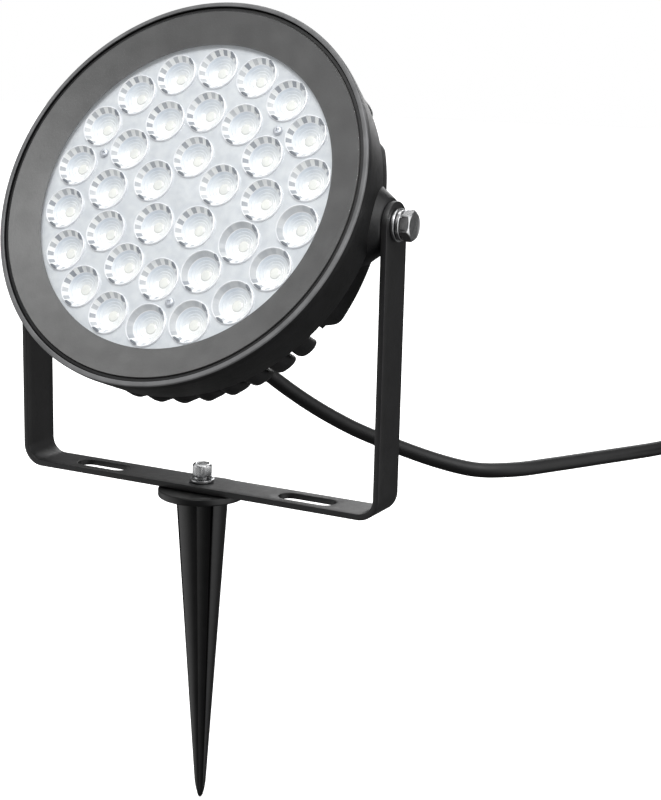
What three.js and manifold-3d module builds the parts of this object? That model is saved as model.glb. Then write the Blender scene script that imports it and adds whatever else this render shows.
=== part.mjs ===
// Round LED garden floodlight on a U-shaped yoke with a ground spike.
// Millimetres, +Z up. The origin is on the spike's axis at the flange's underside (soil level).
// +X runs along the yoke's pivot axis and the lamp faces -Y, tilted up.

import * as THREE from 'three';
import { mergeVertices } from 'three/addons/utils/BufferGeometryUtils.js';
import Module from 'manifold-3d';

const wasm = await Module();
wasm.setup();

// ---------- driving dimensions ----------

const GAP = 0.3; // clearance between pieces that touch

// ground spike
const FLANGE_RADIUS = 22.7;
const FLANGE_THICKNESS = 4;
const SPIKE_LENGTH = 169;
const SPIKE_TOP_RADIUS = 13.9;
const SPIKE_NECK_RADIUS = 3.5;
const SPIKE_NOSE_LENGTH = 15;
const SPIKE_GROOVE_TOP = { floor: 5.7, halfWidth: 4.1 };
const SPIKE_GROOVE_END = { floor: 1.3, halfWidth: 0.8 };
const SPIKE_GROOVE_COUNT = 4;
const SPIKE_TURN = THREE.MathUtils.degToRad(39);
const INSERT_RADIUS = 4.5;
const INSERT_DEPTH = 8;

// yoke
const STRAP_THICKNESS = 3;
const STRAP_WIDTH = 22;
const YOKE_INNER_HALF = 103.2;
const YOKE_BEND_RADIUS = 8;
const PIVOT_HEIGHT = 146.9;
const YOKE_UNDERSIDE = FLANGE_THICKNESS + GAP;
const YOKE_OUTER_HALF = YOKE_INNER_HALF + STRAP_THICKNESS;
const SLOT_OFFSET = 61.8;
const SLOT_LENGTH = 31.5;
const SLOT_WIDTH = 11.5;

// lamp head, with depths measured backwards from the front plane of its rim
const HEAD_TILT = THREE.MathUtils.degToRad(27.9);
const FRONT_TO_PIVOT = 29;
const PIVOT_ABOVE_CENTRE = 1.2;
const RIM_RADIUS = 100.5;
const SKIRT_END_RADIUS = 97.5;
const SKIRT_END = 26;
const GLASS_POCKET_RADIUS = 98;
const GLASS_SEAT = 7.6;
const CAVITY_RADIUS = 88;
const FLOOR_FRONT = 17;
const FLOOR_REAR = 22;
const GLASS_RADIUS = 95.9;
const GLASS_THICKNESS = 5;
const WINDOW_RADIUS = 79.9;
const FIN_COUNT = 44;
const FIN_END = 46;
const FIN_OUTER_RADIUS = 97.4;
const FIN_WEB = 2.6;
const FIN_BULB_RADIUS = 5.5;
const CHEEK_HALF_ANGLE = THREE.MathUtils.degToRad(36);
const CHEEK_RADIUS = 121;
const CHEEK_INNER_RADIUS = 84;
const CHEEK_AT_PIVOT = 92.5;
const CHEEK_END = 42.5;
const BOX_INNER_RADIUS = 38;
const BOX_OUTER_RADIUS = 44;
const BOX_END = 52;
const LUG_TIP_RADIUS = 12.5;
const LUG_BASE_RADIUS = 19;
const LUG_FACE = YOKE_INNER_HALF - GAP;
const HEAD_SEGMENTS = FIN_COUNT; // sides of the head's large turned shapes

// optics and electronics
const LENS_RINGS = [
  { radius: 67.7, count: 18 },
  { radius: 44.2, count: 12 },
  { radius: 20, count: 5 },
];
const LENS_RADIUS = 11;
const LENS_FRONT = 7;
const LENS_BACK = 14.2;
const LENS_SIDES = 8;
const BOARD_FRONT = 15.1;
const BOARD_REAR = FLOOR_FRONT - GAP;
const LENS_SCREW_RING = 56;
const BOARD_SCREW_RING = 81.5;
const COVER_SCREW_RING = 41;
const COVER_FRONT = BOX_END + 1.8;
const COVER_REAR = COVER_FRONT + 3.5;
const LEAD_RADIUS = 0.9;

// cable outlet, on an axis that leans between straight back and straight down
const OUTLET_LEAN = THREE.MathUtils.degToRad(30);
const OUTLET_DEPTH = 63;
const OUTLET_DROP = 20;
const OUTLET_RADIUS = 12;
const GLAND_THREAD_RADIUS = 8;
const GLAND_ACROSS_FLATS = 19;

// fasteners
const M8 = {
  shank: 4, hole: 4.3, flats: 13, head: 5, washer: 8, flat: 1.4, spring: 1.8, springRadius: 7.2,
};
const M6 = {
  shank: 3, hole: 3.3, headRadius: 5, head: 6, washer: 6.4, flat: 1.4, spring: 1.4, springRadius: 5.2,
};
const BOLT_TIP = 87;

// supply cord
const CORD_RADIUS = 4.1;
const CORD_ROUTE = [
  [0, 39.2, 81.8], [0, 45.4, 72.2], [1.2, 50.2, 63.8], [5.4, 55.2, 56.4], [11.3, 60, 50.2],
  [20, 66.5, 42.3], [29.6, 72, 35.3], [39.3, 77.5, 29.1], [48.8, 83.3, 23.6], [71, 94.5, 14.1],
  [88.9, 102.4, 8.1], [103.3, 108.6, 4.8], [111.5, 112.6, 4.1], [119.6, 118.4, 4.1],
  [127.5, 126.8, 4.1], [137.5, 143.2, 4.1], [155.9, 175.1, 4.1], [174.6, 208.2, 4.1],
  [187.6, 232.9, 4.4], [202.3, 250.6, 5.1], [221.5, 265, 5.3],
];
const DROP_LENGTH = 177; // from the strain relief to where the cord touches the soil
const COIL_CENTRE = [252, 226];
const COIL_MEAN_RADIUS = 45;
const COIL_HALF_WIDTH = 8.6;
const COIL_BOTTOM = 1.3;
const COIL_HEIGHT = 15.6;
const TAIL_ROUTE = [
  [296.9, 222.9, 12.6], [297.8, 212, 13.5], [300.4, 202.1, 13.6], [303.4, 192.6, 11.5], [307, 183.4, 8],
  [311, 175, 5.4], [315.4, 166.4, 4.2], [320.2, 159, 4.1], [325, 152, 4.1],
];
const TIE_WIDTH = 8;

// ---------- finishes ----------

function finish(color, roughness, metalness, extra = {}) {
  return new THREE.MeshStandardMaterial({ color, roughness, metalness, ...extra });
}

const powderCoat = () => finish(0x1d1e20, 0.55, 0.3);
const blackNylon = () => finish(0x161617, 0.5, 0);
const blackRubber = () => finish(0x0e0e0f, 0.75, 0);
const stainless = () => finish(0xc4c6c8, 0.28, 1);
const clearGlass = () => finish(0xdfe8ee, 0.03, 0, { transparent: true, opacity: 0.3 });
const greyPrint = () => finish(0x4a4b4d, 0.45, 0);
const clearAcrylic = () => finish(0xf2f5f8, 0.08, 0, { transparent: true, opacity: 0.6 });
const whiteBoard = () => finish(0xe9ebee, 0.5, 0);
const driverCase = () => finish(0xe6e4dc, 0.6, 0);
const cordJacket = () => finish(0x131315, 0.6, 0);
const brass = () => finish(0xb08d45, 0.35, 1);
const coreSleeve = (color) => finish(color, 0.45, 0);

// ---------- solids ----------

// A closed triangle mesh as a solid that can be joined and cut.
function toSolid(geometry) {
  const bare = geometry.index ? geometry.toNonIndexed() : geometry.clone();
  bare.deleteAttribute('normal');
  bare.deleteAttribute('uv');
  const merged = mergeVertices(bare);
  const corners = merged.index.array;
  const kept = [];
  for (let i = 0; i < corners.length; i += 3) {
    const [a, b, c] = [corners[i], corners[i + 1], corners[i + 2]];
    if (a !== b && b !== c && c !== a) kept.push(a, b, c);
  }
  return new wasm.Manifold(new wasm.Mesh({
    numProp: 3,
    vertProperties: merged.attributes.position.array,
    triVerts: new Uint32Array(kept),
  }));
}

function toGeometry(solid) {
  const mesh = solid.getMesh();
  const positions = new Float32Array((mesh.vertProperties.length / mesh.numProp) * 3);
  for (let i = 0; i < positions.length / 3; i += 1) {
    positions.set(mesh.vertProperties.subarray(i * mesh.numProp, i * mesh.numProp + 3), i * 3);
  }
  const geometry = new THREE.BufferGeometry();
  geometry.setAttribute('position', new THREE.BufferAttribute(positions, 3));
  geometry.setIndex(new THREE.BufferAttribute(mesh.triVerts, 1));
  geometry.computeVertexNormals();
  return geometry;
}

const join = (solids) => solids.reduce((whole, next) => whole.add(next));
const cut = (solid, tools) => tools.reduce((whole, tool) => whole.subtract(tool), solid);

// A turned shape about the Y axis from [radius, y] corners, listed in either direction.
function turned(corners, segments) {
  const area = corners.reduce((sum, [r, y], i) => {
    const [nextR, nextY] = corners[(i + 1) % corners.length];
    return sum + r * nextY - nextR * y;
  }, 0);
  const ordered = area > 0 ? corners : [...corners].reverse();
  const points = ordered.map(([r, y]) => new THREE.Vector2(r, y));
  if (points[0].x > 0) points.push(points[0].clone());
  return new THREE.LatheGeometry(points, segments);
}

// Turned shapes about the other axes. side is +1 or -1 along X.
const turnedZ = (corners, segments) => turned(corners, segments).rotateX(Math.PI / 2);
const turnedX = (corners, segments, side) => turned(corners, segments).rotateZ(-side * Math.PI / 2);

// The [radius, y] corners of a plain disc or a ring.
const disc = (radius, low, high) => [[0, low], [radius, low], [radius, high], [0, high]];
const ring = (inner, outer, low, high) => [[inner, low], [outer, low], [outer, high], [inner, high]];

const rod = (radius, low, high, segments = 20) => turned(disc(radius, low, high), segments);

function extruded(shape, depth, curveSegments = 8) {
  return new THREE.ExtrudeGeometry(shape, { depth, bevelEnabled: false, curveSegments, steps: 1 });
}

// A shape drawn across the lamp's axis and extruded backwards between two depths.
function alongDepth(shape, from, to, curveSegments) {
  return extruded(shape, to - from, curveSegments).rotateX(-Math.PI / 2).translate(0, from, 0);
}

function hexagon(acrossFlats) {
  const shape = new THREE.Shape();
  const radius = acrossFlats / Math.sqrt(3);
  for (let i = 0; i < 6; i += 1) {
    const angle = (i * Math.PI) / 3;
    const point = [radius * Math.cos(angle), radius * Math.sin(angle)];
    if (i === 0) shape.moveTo(...point);
    else shape.lineTo(...point);
  }
  shape.closePath();
  return shape;
}

const hexRod = (acrossFlats, low, high) => alongDepth(hexagon(acrossFlats), low, high);

// A washer split across its ring, as a spring washer is.
function springWasher(inner, outer, thickness) {
  const whole = toSolid(turned(ring(inner, outer, 0, thickness), 24));
  const split = toSolid(new THREE.BoxGeometry(outer, thickness * 3, 1.2).translate(outer / 2 + 1, 0, 0));
  return toGeometry(whole.subtract(split));
}

const smoothCurve = (points) => (
  new THREE.CatmullRomCurve3(points.map((p) => new THREE.Vector3(...p)), false, 'centripetal')
);

// Part of a curve, between two distances along it.
class Stretch extends THREE.Curve {
  constructor(whole, from, to) {
    super();
    this.whole = whole;
    this.from = from / whole.getLength();
    this.to = to / whole.getLength();
  }

  getPoint(t) {
    return this.whole.getPointAt(this.from + (this.to - this.from) * t);
  }
}

function tubeAlong(curve, radius, steps, sides = 10) {
  const section = new THREE.Shape();
  section.absarc(0, 0, radius, 0, Math.PI * 2, false);
  const options = { steps, extrudePath: curve, curveSegments: sides, bevelEnabled: false };
  return new THREE.ExtrudeGeometry(section, options);
}

function addPiece(parent, name, geometry, material) {
  const mesh = new THREE.Mesh(geometry, material);
  mesh.name = name;
  parent.add(mesh);
  return mesh;
}

const polar = (radius, angle) => [radius * Math.sin(angle), radius * Math.cos(angle)];

// ---------- ground spike ----------

function spikeCorners() {
  return [
    [0, -SPIKE_LENGTH],
    [0.9, -SPIKE_LENGTH + 1],
    [2.4, -SPIKE_LENGTH + 5],
    [SPIKE_NECK_RADIUS, -SPIKE_LENGTH + SPIKE_NOSE_LENGTH],
    [SPIKE_TOP_RADIUS, 0.5],
    [0, 0.5],
  ];
}

// The room of one groove: its floor and its width shrink from the flange to the nose.
function grooveRoom() {
  const room = new THREE.BoxGeometry(2, 2, SPIKE_LENGTH);
  const corners = room.attributes.position;
  for (let i = 0; i < corners.count; i += 1) {
    const level = corners.getZ(i) > 0 ? SPIKE_GROOVE_TOP : SPIKE_GROOVE_END;
    corners.setX(i, corners.getX(i) > 0 ? FLANGE_RADIUS : level.floor);
    corners.setY(i, corners.getY(i) * level.halfWidth);
  }
  return room.translate(0, 0, -SPIKE_LENGTH / 2 - 2);
}

function groundSpike() {
  const cone = toSolid(turnedZ(spikeCorners(), 32));
  const grooves = [];
  for (let i = 0; i < SPIKE_GROOVE_COUNT; i += 1) {
    const turn = SPIKE_TURN + (i * Math.PI * 2) / SPIKE_GROOVE_COUNT;
    grooves.push(toSolid(grooveRoom().rotateZ(turn)));
  }
  const shaft = cut(cone, grooves);
  const flange = toSolid(turnedZ([
    [0, 0],
    [FLANGE_RADIUS - 0.8, 0],
    [FLANGE_RADIUS, 0.8],
    [FLANGE_RADIUS, FLANGE_THICKNESS - 0.8],
    [FLANGE_RADIUS - 0.8, FLANGE_THICKNESS],
    [0, FLANGE_THICKNESS],
  ], 40));
  const pocket = toSolid(turnedZ(disc(INSERT_RADIUS + GAP, -INSERT_DEPTH, FLANGE_THICKNESS + 1), 24));
  const screwRoom = toSolid(turnedZ(disc(M6.hole, -INSERT_DEPTH - 7, 0), 20));
  return toGeometry(cut(join([shaft, flange]), [pocket, screwRoom]));
}

function addStake(root) {
  addPiece(root, 'ground_stake', groundSpike(), blackNylon());
  const insert = ring(M6.hole, INSERT_RADIUS, GAP - INSERT_DEPTH, FLANGE_THICKNESS - GAP);
  addPiece(root, 'stake_insert', turnedZ(insert, 20), brass());

  const washerTop = YOKE_UNDERSIDE + STRAP_THICKNESS + GAP;
  const springTop = washerTop + M6.flat + GAP;
  const headBottom = springTop + M6.spring + GAP;
  const washer = ring(M6.hole, M6.washer, washerTop, washerTop + M6.flat);
  addPiece(root, 'stake_flat_washer', turnedZ(washer, 24), stainless());
  const spring = springWasher(M6.hole, M6.springRadius, M6.spring).rotateX(Math.PI / 2);
  addPiece(root, 'stake_spring_washer', spring.translate(0, 0, springTop), stainless());

  const head = [
    [0, GAP - INSERT_DEPTH - 4],
    [M6.shank, GAP - INSERT_DEPTH - 4],
    [M6.shank, headBottom],
    [M6.headRadius, headBottom],
    [M6.headRadius, headBottom + M6.head - 0.6],
    [M6.headRadius - 0.6, headBottom + M6.head],
    [0, headBottom + M6.head],
  ];
  const socket = hexRod(5, headBottom + M6.head - 3, headBottom + M6.head + 1).rotateX(Math.PI / 2);
  const screw = toSolid(turnedZ(head, 28)).subtract(toSolid(socket));
  addPiece(root, 'stake_screw', toGeometry(screw), stainless());
}

// ---------- yoke ----------

function yokeOutline() {
  const top = PIVOT_HEIGHT + STRAP_WIDTH / 2;
  const outerRadius = YOKE_BEND_RADIUS + STRAP_THICKNESS;
  const bendHeight = YOKE_UNDERSIDE + outerRadius;
  const bendHalf = YOKE_OUTER_HALF - outerRadius;
  const shape = new THREE.Shape();
  shape.moveTo(YOKE_OUTER_HALF, top);
  shape.lineTo(YOKE_INNER_HALF, top);
  shape.lineTo(YOKE_INNER_HALF, bendHeight);
  shape.absarc(bendHalf, bendHeight, YOKE_BEND_RADIUS, 0, -Math.PI / 2, true);
  shape.lineTo(-bendHalf, YOKE_UNDERSIDE + STRAP_THICKNESS);
  shape.absarc(-bendHalf, bendHeight, YOKE_BEND_RADIUS, -Math.PI / 2, -Math.PI, true);
  shape.lineTo(-YOKE_INNER_HALF, top);
  shape.lineTo(-YOKE_OUTER_HALF, top);
  shape.lineTo(-YOKE_OUTER_HALF, bendHeight);
  shape.absarc(-bendHalf, bendHeight, outerRadius, Math.PI, Math.PI * 1.5, false);
  shape.lineTo(bendHalf, YOKE_UNDERSIDE);
  shape.absarc(bendHalf, bendHeight, outerRadius, -Math.PI / 2, 0, false);
  shape.closePath();
  return shape;
}

// Side view of both legs: straight edges with a round top about the pivot.
function legOutline() {
  const half = STRAP_WIDTH / 2;
  const shape = new THREE.Shape();
  shape.moveTo(-half, 0);
  shape.lineTo(half, 0);
  shape.lineTo(half, PIVOT_HEIGHT);
  shape.absarc(0, PIVOT_HEIGHT, half, 0, Math.PI, false);
  shape.closePath();
  return shape;
}

function slotShape() {
  const straight = (SLOT_LENGTH - SLOT_WIDTH) / 2;
  const radius = SLOT_WIDTH / 2;
  const shape = new THREE.Shape();
  shape.absarc(straight, 0, radius, -Math.PI / 2, Math.PI / 2, false);
  shape.absarc(-straight, 0, radius, Math.PI / 2, Math.PI * 1.5, false);
  shape.closePath();
  return shape;
}

function addYoke(root) {
  const bent = extruded(yokeOutline(), STRAP_WIDTH, 6);
  bent.rotateX(Math.PI / 2).translate(0, STRAP_WIDTH / 2, 0);
  const legs = extruded(legOutline(), YOKE_OUTER_HALF * 2 + 2, 16);
  legs.rotateX(Math.PI / 2).rotateZ(Math.PI / 2).translate(-YOKE_OUTER_HALF - 1, 0, 0);
  const strap = toSolid(bent).intersect(toSolid(legs));

  const pivotHole = rod(M8.hole, -YOKE_OUTER_HALF - 5, YOKE_OUTER_HALF + 5, 16);
  pivotHole.rotateZ(-Math.PI / 2).translate(0, 0, PIVOT_HEIGHT);
  const screwHole = turnedZ(disc(M6.hole, 0, 20), 16);
  const cuts = [toSolid(pivotHole), toSolid(screwHole)];
  for (const side of [-1, 1]) {
    cuts.push(toSolid(extruded(slotShape(), 20, 6).translate(side * SLOT_OFFSET, 0, 0)));
  }
  addPiece(root, 'yoke_bracket', toGeometry(cut(strap, cuts)), powderCoat());
}

// ---------- lamp head, drawn with Y as the depth behind the rim's front plane ----------

function housingCorners() {
  return [
    [0, FLOOR_FRONT],
    [CAVITY_RADIUS, FLOOR_FRONT],
    [CAVITY_RADIUS, GLASS_SEAT],
    [GLASS_POCKET_RADIUS, GLASS_SEAT],
    [GLASS_POCKET_RADIUS, 0.3],
    [GLASS_POCKET_RADIUS + 0.3, 0],
    [RIM_RADIUS - 0.5, 0],
    [RIM_RADIUS, 0.5],
    [RIM_RADIUS, 4],
    [SKIRT_END_RADIUS, SKIRT_END],
    [BOX_OUTER_RADIUS, FLOOR_REAR],
    [BOX_OUTER_RADIUS, BOX_END],
    [BOX_INNER_RADIUS, BOX_END],
    [BOX_INNER_RADIUS, FLOOR_REAR],
    [0, FLOOR_REAR],
  ];
}

// Everything behind the skirt stays inside this turned outline.
function finEnvelope() {
  return turned([
    [BOX_OUTER_RADIUS - 2, FLOOR_REAR - 1],
    [FIN_OUTER_RADIUS + 1, FLOOR_REAR - 1],
    [FIN_OUTER_RADIUS + 1, SKIRT_END + 9],
    [FIN_OUTER_RADIUS - 5.5, FIN_END],
    [BOX_OUTER_RADIUS - 2, BOX_END - 1],
  ], FIN_COUNT).rotateY(Math.PI / FIN_COUNT);
}

// Plan of one fin: a thin web that swells into a round outer end.
function finPlan() {
  const bulbCentre = FIN_OUTER_RADIUS - FIN_BULB_RADIUS;
  const web = FIN_WEB / 2;
  const shape = new THREE.Shape();
  shape.moveTo(BOX_OUTER_RADIUS - 1, -web);
  shape.lineTo(bulbCentre - 10, -web);
  shape.lineTo(bulbCentre - 3, -FIN_BULB_RADIUS + 0.5);
  shape.absarc(bulbCentre, 0, FIN_BULB_RADIUS, -Math.PI / 2, Math.PI / 2, false);
  shape.lineTo(bulbCentre - 3, FIN_BULB_RADIUS - 0.5);
  shape.lineTo(bulbCentre - 10, web);
  shape.lineTo(BOX_OUTER_RADIUS - 1, web);
  shape.closePath();
  return shape;
}

// Solid stretch of the casting beside each pivot, flatter than the fins' circle.
function cheekPlan() {
  const halfChord = FIN_OUTER_RADIUS * Math.sin(CHEEK_HALF_ANGLE);
  const reach = Math.asin(halfChord / CHEEK_RADIUS);
  const shape = new THREE.Shape();
  shape.absarc(CHEEK_AT_PIVOT - CHEEK_RADIUS, 0, CHEEK_RADIUS, -reach, reach, false);
  shape.absarc(0, 0, CHEEK_INNER_RADIUS, CHEEK_HALF_ANGLE, -CHEEK_HALF_ANGLE, true);
  shape.closePath();
  return shape;
}

// Plan of a fin that ends inside a cheek.
function webPlan() {
  const web = FIN_WEB / 2;
  const shape = new THREE.Shape();
  shape.moveTo(BOX_OUTER_RADIUS - 1, -web);
  shape.lineTo(CHEEK_INNER_RADIUS + 4, -web);
  shape.lineTo(CHEEK_INNER_RADIUS + 4, web);
  shape.lineTo(BOX_OUTER_RADIUS - 1, web);
  shape.closePath();
  return shape;
}

function finsAndCheeks() {
  const fins = [];
  for (let i = 0; i < FIN_COUNT; i += 1) {
    const angle = (i * Math.PI * 2) / FIN_COUNT;
    const plan = Math.abs(Math.cos(angle)) > Math.cos(CHEEK_HALF_ANGLE) ? webPlan() : finPlan();
    fins.push(toSolid(alongDepth(plan, FLOOR_REAR - 0.5, BOX_END, 4).rotateY(angle)));
  }
  const cheeks = [0, Math.PI].map((turn) => (
    toSolid(alongDepth(cheekPlan(), FLOOR_REAR - 0.5, CHEEK_END, 12).rotateY(turn))
  ));
  return join([join(fins).intersect(toSolid(finEnvelope())), ...cheeks]);
}

function lug(side) {
  const base = CHEEK_INNER_RADIUS + 1;
  const cone = turnedX([
    [0, base],
    [LUG_BASE_RADIUS, base],
    [LUG_TIP_RADIUS, LUG_FACE],
    [0, LUG_FACE],
  ], 32, side);
  return toSolid(cone.scale(1, 0.85, 1).translate(0, FRONT_TO_PIVOT, PIVOT_ABOVE_CENTRE));
}

function screwHoles(count, radius, startAngle, holeRadius, from, to) {
  const holes = [];
  for (let i = 0; i < count; i += 1) {
    const [x, z] = polar(radius, startAngle + (i * Math.PI * 2) / count);
    holes.push(toSolid(rod(holeRadius, from, to, 12).translate(x, 0, z)));
  }
  return holes;
}

const LENS_SCREWS = { count: 3, radius: LENS_SCREW_RING, start: THREE.MathUtils.degToRad(50) };
const BOARD_SCREWS = { count: 4, radius: BOARD_SCREW_RING, start: THREE.MathUtils.degToRad(20) };
const COVER_SCREWS = { count: 4, radius: COVER_SCREW_RING, start: Math.PI / 4 };

const holesFor = (set, holeRadius, from, to) => (
  screwHoles(set.count, set.radius, set.start, holeRadius, from, to)
);

function addHousing(lamp) {
  const skirt = toSolid(turned(housingCorners(), HEAD_SEGMENTS));
  const casting = join([skirt, finsAndCheeks(), lug(-1), lug(1)]);
  const frontCavity = toSolid(rod(CAVITY_RADIUS, -1, FLOOR_FRONT, HEAD_SEGMENTS));
  const boltHoles = [-1, 1].map((side) => {
    const hole = turnedX(disc(M8.hole, BOLT_TIP - 1, LUG_FACE + 1), 16, side);
    return toSolid(hole.translate(0, FRONT_TO_PIVOT, PIVOT_ABOVE_CENTRE));
  });
  const leadHole = toSolid(rod(2.7, FLOOR_FRONT - 1, FLOOR_REAR + 1).translate(30.2, 0, 0));
  const solid = cut(casting, [
    frontCavity,
    ...boltHoles,
    leadHole,
    ...holesFor(LENS_SCREWS, 1.55, FLOOR_FRONT - 1, FLOOR_REAR - 1),
    ...holesFor(BOARD_SCREWS, 1.55, FLOOR_FRONT - 1, FLOOR_REAR - 1),
    ...holesFor(COVER_SCREWS, 2, BOX_END - 10, BOX_END + 1),
  ]);
  addPiece(lamp, 'heatsink_housing', toGeometry(solid), powderCoat());
}

function addGlazing(lamp) {
  const rear = GAP + GLASS_THICKNESS;
  const glass = turned([
    [0, GAP],
    [GLASS_RADIUS - 0.6, GAP],
    [GLASS_RADIUS, GAP + 0.6],
    [GLASS_RADIUS, rear],
    [0, rear],
  ], HEAD_SEGMENTS);
  addPiece(lamp, 'front_glass', glass, clearGlass());
  const mask = ring(WINDOW_RADIUS, GLASS_RADIUS, rear + GAP, rear + 0.7);
  addPiece(lamp, 'glass_mask', turned(mask, HEAD_SEGMENTS), greyPrint());
  const seal = turned([
    [GLASS_RADIUS + GAP, 1.4],
    [GLASS_POCKET_RADIUS - GAP, 1.4],
    [GLASS_POCKET_RADIUS - GAP, GLASS_SEAT - GAP],
    [92, GLASS_SEAT - GAP],
    [92, rear + 1],
    [GLASS_RADIUS + GAP, rear + 1],
  ], HEAD_SEGMENTS);
  addPiece(lamp, 'glass_seal', seal, blackRubber());
}

function forEachLens(place) {
  for (const { radius, count } of LENS_RINGS) {
    for (let i = 0; i < count; i += 1) {
      place(...polar(radius, (i * Math.PI * 2) / count));
    }
  }
}

function addOptics(lamp) {
  const lenses = [toSolid(rod(84, LENS_FRONT + 1, LENS_FRONT + 2.5, HEAD_SEGMENTS))];
  const chips = [toSolid(rod(86, BOARD_FRONT, BOARD_REAR, HEAD_SEGMENTS))];
  forEachLens((x, z) => {
    const lens = turned([
      [0, LENS_FRONT],
      [LENS_RADIUS, LENS_FRONT],
      [LENS_RADIUS, LENS_FRONT + 2],
      [4.2, LENS_BACK],
      [0, LENS_BACK],
    ], LENS_SIDES);
    lenses.push(toSolid(lens.translate(x, 0, z)));
    const chip = new THREE.BoxGeometry(3.2, 1, 3.2).translate(x, BOARD_FRONT - 0.1, z);
    chips.push(toSolid(chip));
  });
  const plate = cut(join(lenses), holesFor(LENS_SCREWS, 1.6, 0, LENS_BACK));
  addPiece(lamp, 'lens_array', toGeometry(plate), clearAcrylic());
  const boardHoles = [
    ...holesFor(LENS_SCREWS, 1.6, LENS_BACK, FLOOR_FRONT),
    ...holesFor(BOARD_SCREWS, 1.6, LENS_BACK, FLOOR_FRONT),
  ];
  addPiece(lamp, 'led_board', toGeometry(cut(join(chips), boardHoles)), whiteBoard());
}

// A pan-head screw along the depth axis, its head resting at headRear.
function panScrew(headRadius, headHeight, shankRadius, headRear, tip, backwards) {
  const crown = backwards ? headRear + headHeight : headRear - headHeight;
  const shoulder = backwards ? crown - 0.5 : crown + 0.5;
  return turned([
    [0, tip],
    [shankRadius, tip],
    [shankRadius, headRear],
    [headRadius, headRear],
    [headRadius, shoulder],
    [headRadius - 0.7, crown],
    [0, crown],
  ], 10);
}

function addScrews(lamp, name, set, screw) {
  for (let i = 0; i < set.count; i += 1) {
    const [x, z] = polar(set.radius, set.start + (i * Math.PI * 2) / set.count);
    const mesh = addPiece(lamp, `${name}_${i + 1}`, screw(), stainless());
    mesh.position.set(x, 0, z);
  }
}

function addFixings(lamp) {
  const lensSeat = LENS_FRONT + 1 - GAP;
  addScrews(lamp, 'lens_screw', LENS_SCREWS, () => panScrew(2.4, 1.2, 1.25, lensSeat, 20.5, false));
  const boardSeat = BOARD_FRONT - GAP;
  addScrews(lamp, 'board_screw', BOARD_SCREWS, () => panScrew(2.8, 1.8, 1.25, boardSeat, 20.5, false));
  const coverSeat = COVER_REAR + GAP;
  addScrews(lamp, 'cover_screw', COVER_SCREWS, () => panScrew(3.6, 2.4, 1.7, coverSeat, BOX_END - 9, true));
}

function addDriver(lamp) {
  const height = 22;
  const box = new THREE.BoxGeometry(50, height, 34).translate(0, FLOOR_REAR + GAP + height / 2, 0);
  addPiece(lamp, 'led_driver', box, driverCase());
  const lead = () => rod(LEAD_RADIUS, FLOOR_FRONT, FLOOR_REAR + 10, 10);
  addPiece(lamp, 'output_lead_red', lead().translate(29, 0, 0), coreSleeve(0xb3231d));
  addPiece(lamp, 'output_lead_black', lead().translate(31.4, 0, 0), coreSleeve(0x161616));
}

// Turns a shape drawn along +Y from the outlet's face onto the leaning outlet axis.
function onOutlet(geometry) {
  return geometry.rotateX(-OUTLET_LEAN).translate(0, OUTLET_DEPTH, -OUTLET_DROP);
}

function addRearCover(lamp) {
  const flat = ring(BOX_INNER_RADIUS + 0.4, BOX_OUTER_RADIUS, BOX_END + GAP, COVER_FRONT - GAP);
  const gasket = cut(toSolid(turned(flat, 32)), holesFor(COVER_SCREWS, 2, BOX_END, COVER_FRONT));
  addPiece(lamp, 'rear_gasket', toGeometry(gasket), blackRubber());

  const plate = toSolid(turned([
    [0, COVER_FRONT],
    [BOX_OUTER_RADIUS, COVER_FRONT],
    [BOX_OUTER_RADIUS, COVER_REAR - 1],
    [BOX_OUTER_RADIUS - 1, COVER_REAR],
    [0, COVER_REAR],
  ], 32));
  const boss = toSolid(onOutlet(rod(OUTLET_RADIUS, -24, 0, 24)));
  const inside = toSolid(rod(BOX_OUTER_RADIUS + 5, COVER_FRONT - 40, COVER_FRONT, 24));
  const bore = toSolid(onOutlet(rod(GLAND_THREAD_RADIUS + GAP, -24, 1, 20)));
  const screwRoom = holesFor(COVER_SCREWS, 2, BOX_END, COVER_REAR + 1);
  const cover = cut(join([plate, boss.subtract(inside)]), [bore, ...screwRoom]);
  addPiece(lamp, 'rear_cover', toGeometry(cover), powderCoat());
}

function addGland(lamp) {
  const flangeTop = GAP + 5;
  const nutBottom = flangeTop + GAP;
  const nutTop = nutBottom + 10;
  const bore = CORD_RADIUS + 0.3;
  const thread = toSolid(turned(ring(bore, GLAND_THREAD_RADIUS, -9, GAP + 1), 20));
  const flange = toSolid(hexRod(GLAND_ACROSS_FLATS, GAP, flangeTop));
  const neck = toSolid(turned(ring(bore, 7, flangeTop - 1, flangeTop + 4), 20));
  const body = cut(join([thread, flange, neck]), [toSolid(rod(bore, -12, 20, 20))]);
  addPiece(lamp, 'gland_body', onOutlet(toGeometry(body)), blackNylon());

  const dome = toSolid(turned([
    [0, nutBottom],
    [GLAND_ACROSS_FLATS / 2 + 1, nutBottom],
    [GLAND_ACROSS_FLATS / 2 + 1, nutTop - 4],
    [GLAND_ACROSS_FLATS / 2 - 2, nutTop],
    [0, nutTop],
  ], 24));
  const nut = dome.intersect(toSolid(hexRod(GLAND_ACROSS_FLATS, nutBottom - 1, nutTop + 1)));
  const nutBore = turned([
    [0, nutBottom - 1],
    [7.3, nutBottom - 1],
    [7.3, nutTop - 4],
    [6, nutTop + 1],
    [0, nutTop + 1],
  ], 20);
  addPiece(lamp, 'gland_nut', onOutlet(toGeometry(nut.subtract(toSolid(nutBore)))), blackNylon());

  const sleeveEnd = nutTop + 20;
  const sleeve = turned([
    [0, nutTop - 2],
    [5.2, nutTop - 2],
    [5.2, nutTop + GAP],
    [6.6, nutTop + GAP],
    [6.6, nutTop + 2.5],
    [CORD_RADIUS + 0.9, sleeveEnd],
    [0, sleeveEnd],
  ], 16);
  addPiece(lamp, 'strain_relief', onOutlet(sleeve), blackRubber());
}

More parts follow.
